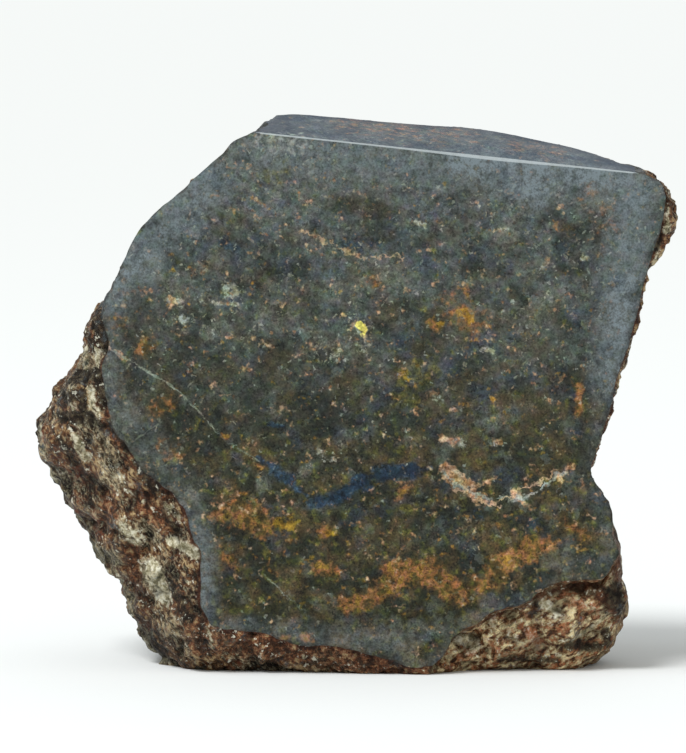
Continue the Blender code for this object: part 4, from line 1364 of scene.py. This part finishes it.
def bake_map(mesh):
    """Lays the surface out on the bake's map, each face in the chart that looks at it best."""
    ways = np.array([chart["way"] for chart in CHARTS.values()], dtype=float)
    normals = read(mesh.polygons, "normal", 3)
    count = np.array([len(face.vertices) for face in mesh.polygons])
    chosen = np.repeat(np.argmax(normals @ ways.T, axis=1), count)
    corners = read(mesh.vertices, "co", 3)[read(mesh.loops, "vertex_index").astype(int)] / MM
    places = np.zeros((len(corners), 2))
    for number, chart in enumerate(CHARTS.values()):
        mine = chosen == number
        for side, axis in enumerate((chart["across"], chart["up"])):
            shift = chart["corner"][side] + MAP_GAP
            places[mine, side] = (corners[mine, axis] - LOW[axis]) * chart["scale"] + shift
    layer = mesh.uv_layers.new(name="OFBake")
    layer.uv.foreach_set("vector", (places / MAP_SIZE).astype(np.float32).ravel())


# Camera, floor and light

AIM = Vector((-0.83, LOW[1], 28.31)) * MM
CAMERA_DISTANCE = 600.0 * MM
CAMERA_RISE = math.radians(5.0)
CAMERA_LENS = 305.2
SENSOR = 36.0
FLOOR_SIZE = 12.0
FLOOR_COLOUR = srgb(238, 240, 239)
BACKGROUND = srgb(249, 251, 250)
ROOM_LIGHT = 0.62


def place_camera():
    """Looks at the polished face from a little above, as the stone is pictured."""
    data = bpy.data.cameras.new("camera")
    data.lens = CAMERA_LENS
    data.sensor_width = SENSOR
    data.clip_start = 0.01
    camera = bpy.data.objects.new("camera", data)
    back = Vector((0.0, -math.cos(CAMERA_RISE), math.sin(CAMERA_RISE)))
    camera.location = AIM + back * CAMERA_DISTANCE
    camera.rotation_euler = (math.radians(90.0) - CAMERA_RISE, 0.0, 0.0)
    bpy.context.scene.collection.objects.link(camera)
    bpy.context.scene.camera = camera


def lay_floor():
    """A plain pale floor that runs out of sight."""
    bpy.ops.mesh.primitive_plane_add(size=FLOOR_SIZE)
    floor = bpy.context.object
    floor.name = "floor"
    finish, _, shader, _ = new_finish("pale floor")
    shader.inputs["Base Color"].default_value = FLOOR_COLOUR
    shader.inputs["Roughness"].default_value = 1.0
    shader.inputs["Specular IOR Level"].default_value = 0.0
    floor.data.materials.append(finish)


def add_light(name, kind, energy, place, **settings):
    """A light at a place in metres, turned to the middle of the polished face."""
    data = bpy.data.lights.new(name, kind)
    data.energy = energy
    for setting, value in settings.items():
        setattr(data, setting, value)
    light = bpy.data.objects.new(name, data)
    light.location = Vector(place)
    light.rotation_euler = (AIM - light.location).to_track_quat("-Z", "Y").to_euler()
    bpy.context.scene.collection.objects.link(light)


def light_scene():
    """Even pale surroundings, a soft key from above on the left and a cool light over the top."""
    world = bpy.data.worlds.new("pale room")
    world.use_nodes = True
    background = world.node_tree.nodes["Background"]
    background.inputs["Color"].default_value = BACKGROUND
    background.inputs["Strength"].default_value = ROOM_LIGHT
    bpy.context.scene.world = world
    add_light("key", "SUN", 1.9, (-0.5, -0.6, 1.1), angle=math.radians(18.0))
    add_light("cool top", "AREA", 0.5, (-0.28, -0.10, 0.42), shape="RECTANGLE", size=0.30,
              size_y=0.22, color=(0.86, 0.93, 1.0))
    bpy.context.scene.view_settings.view_transform = "Standard"


place_camera()
lay_floor()
light_scene()
stone = main_stone()
dress(stone)
bake_map(stone.data)
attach(stone, BODY)
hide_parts(NODE)
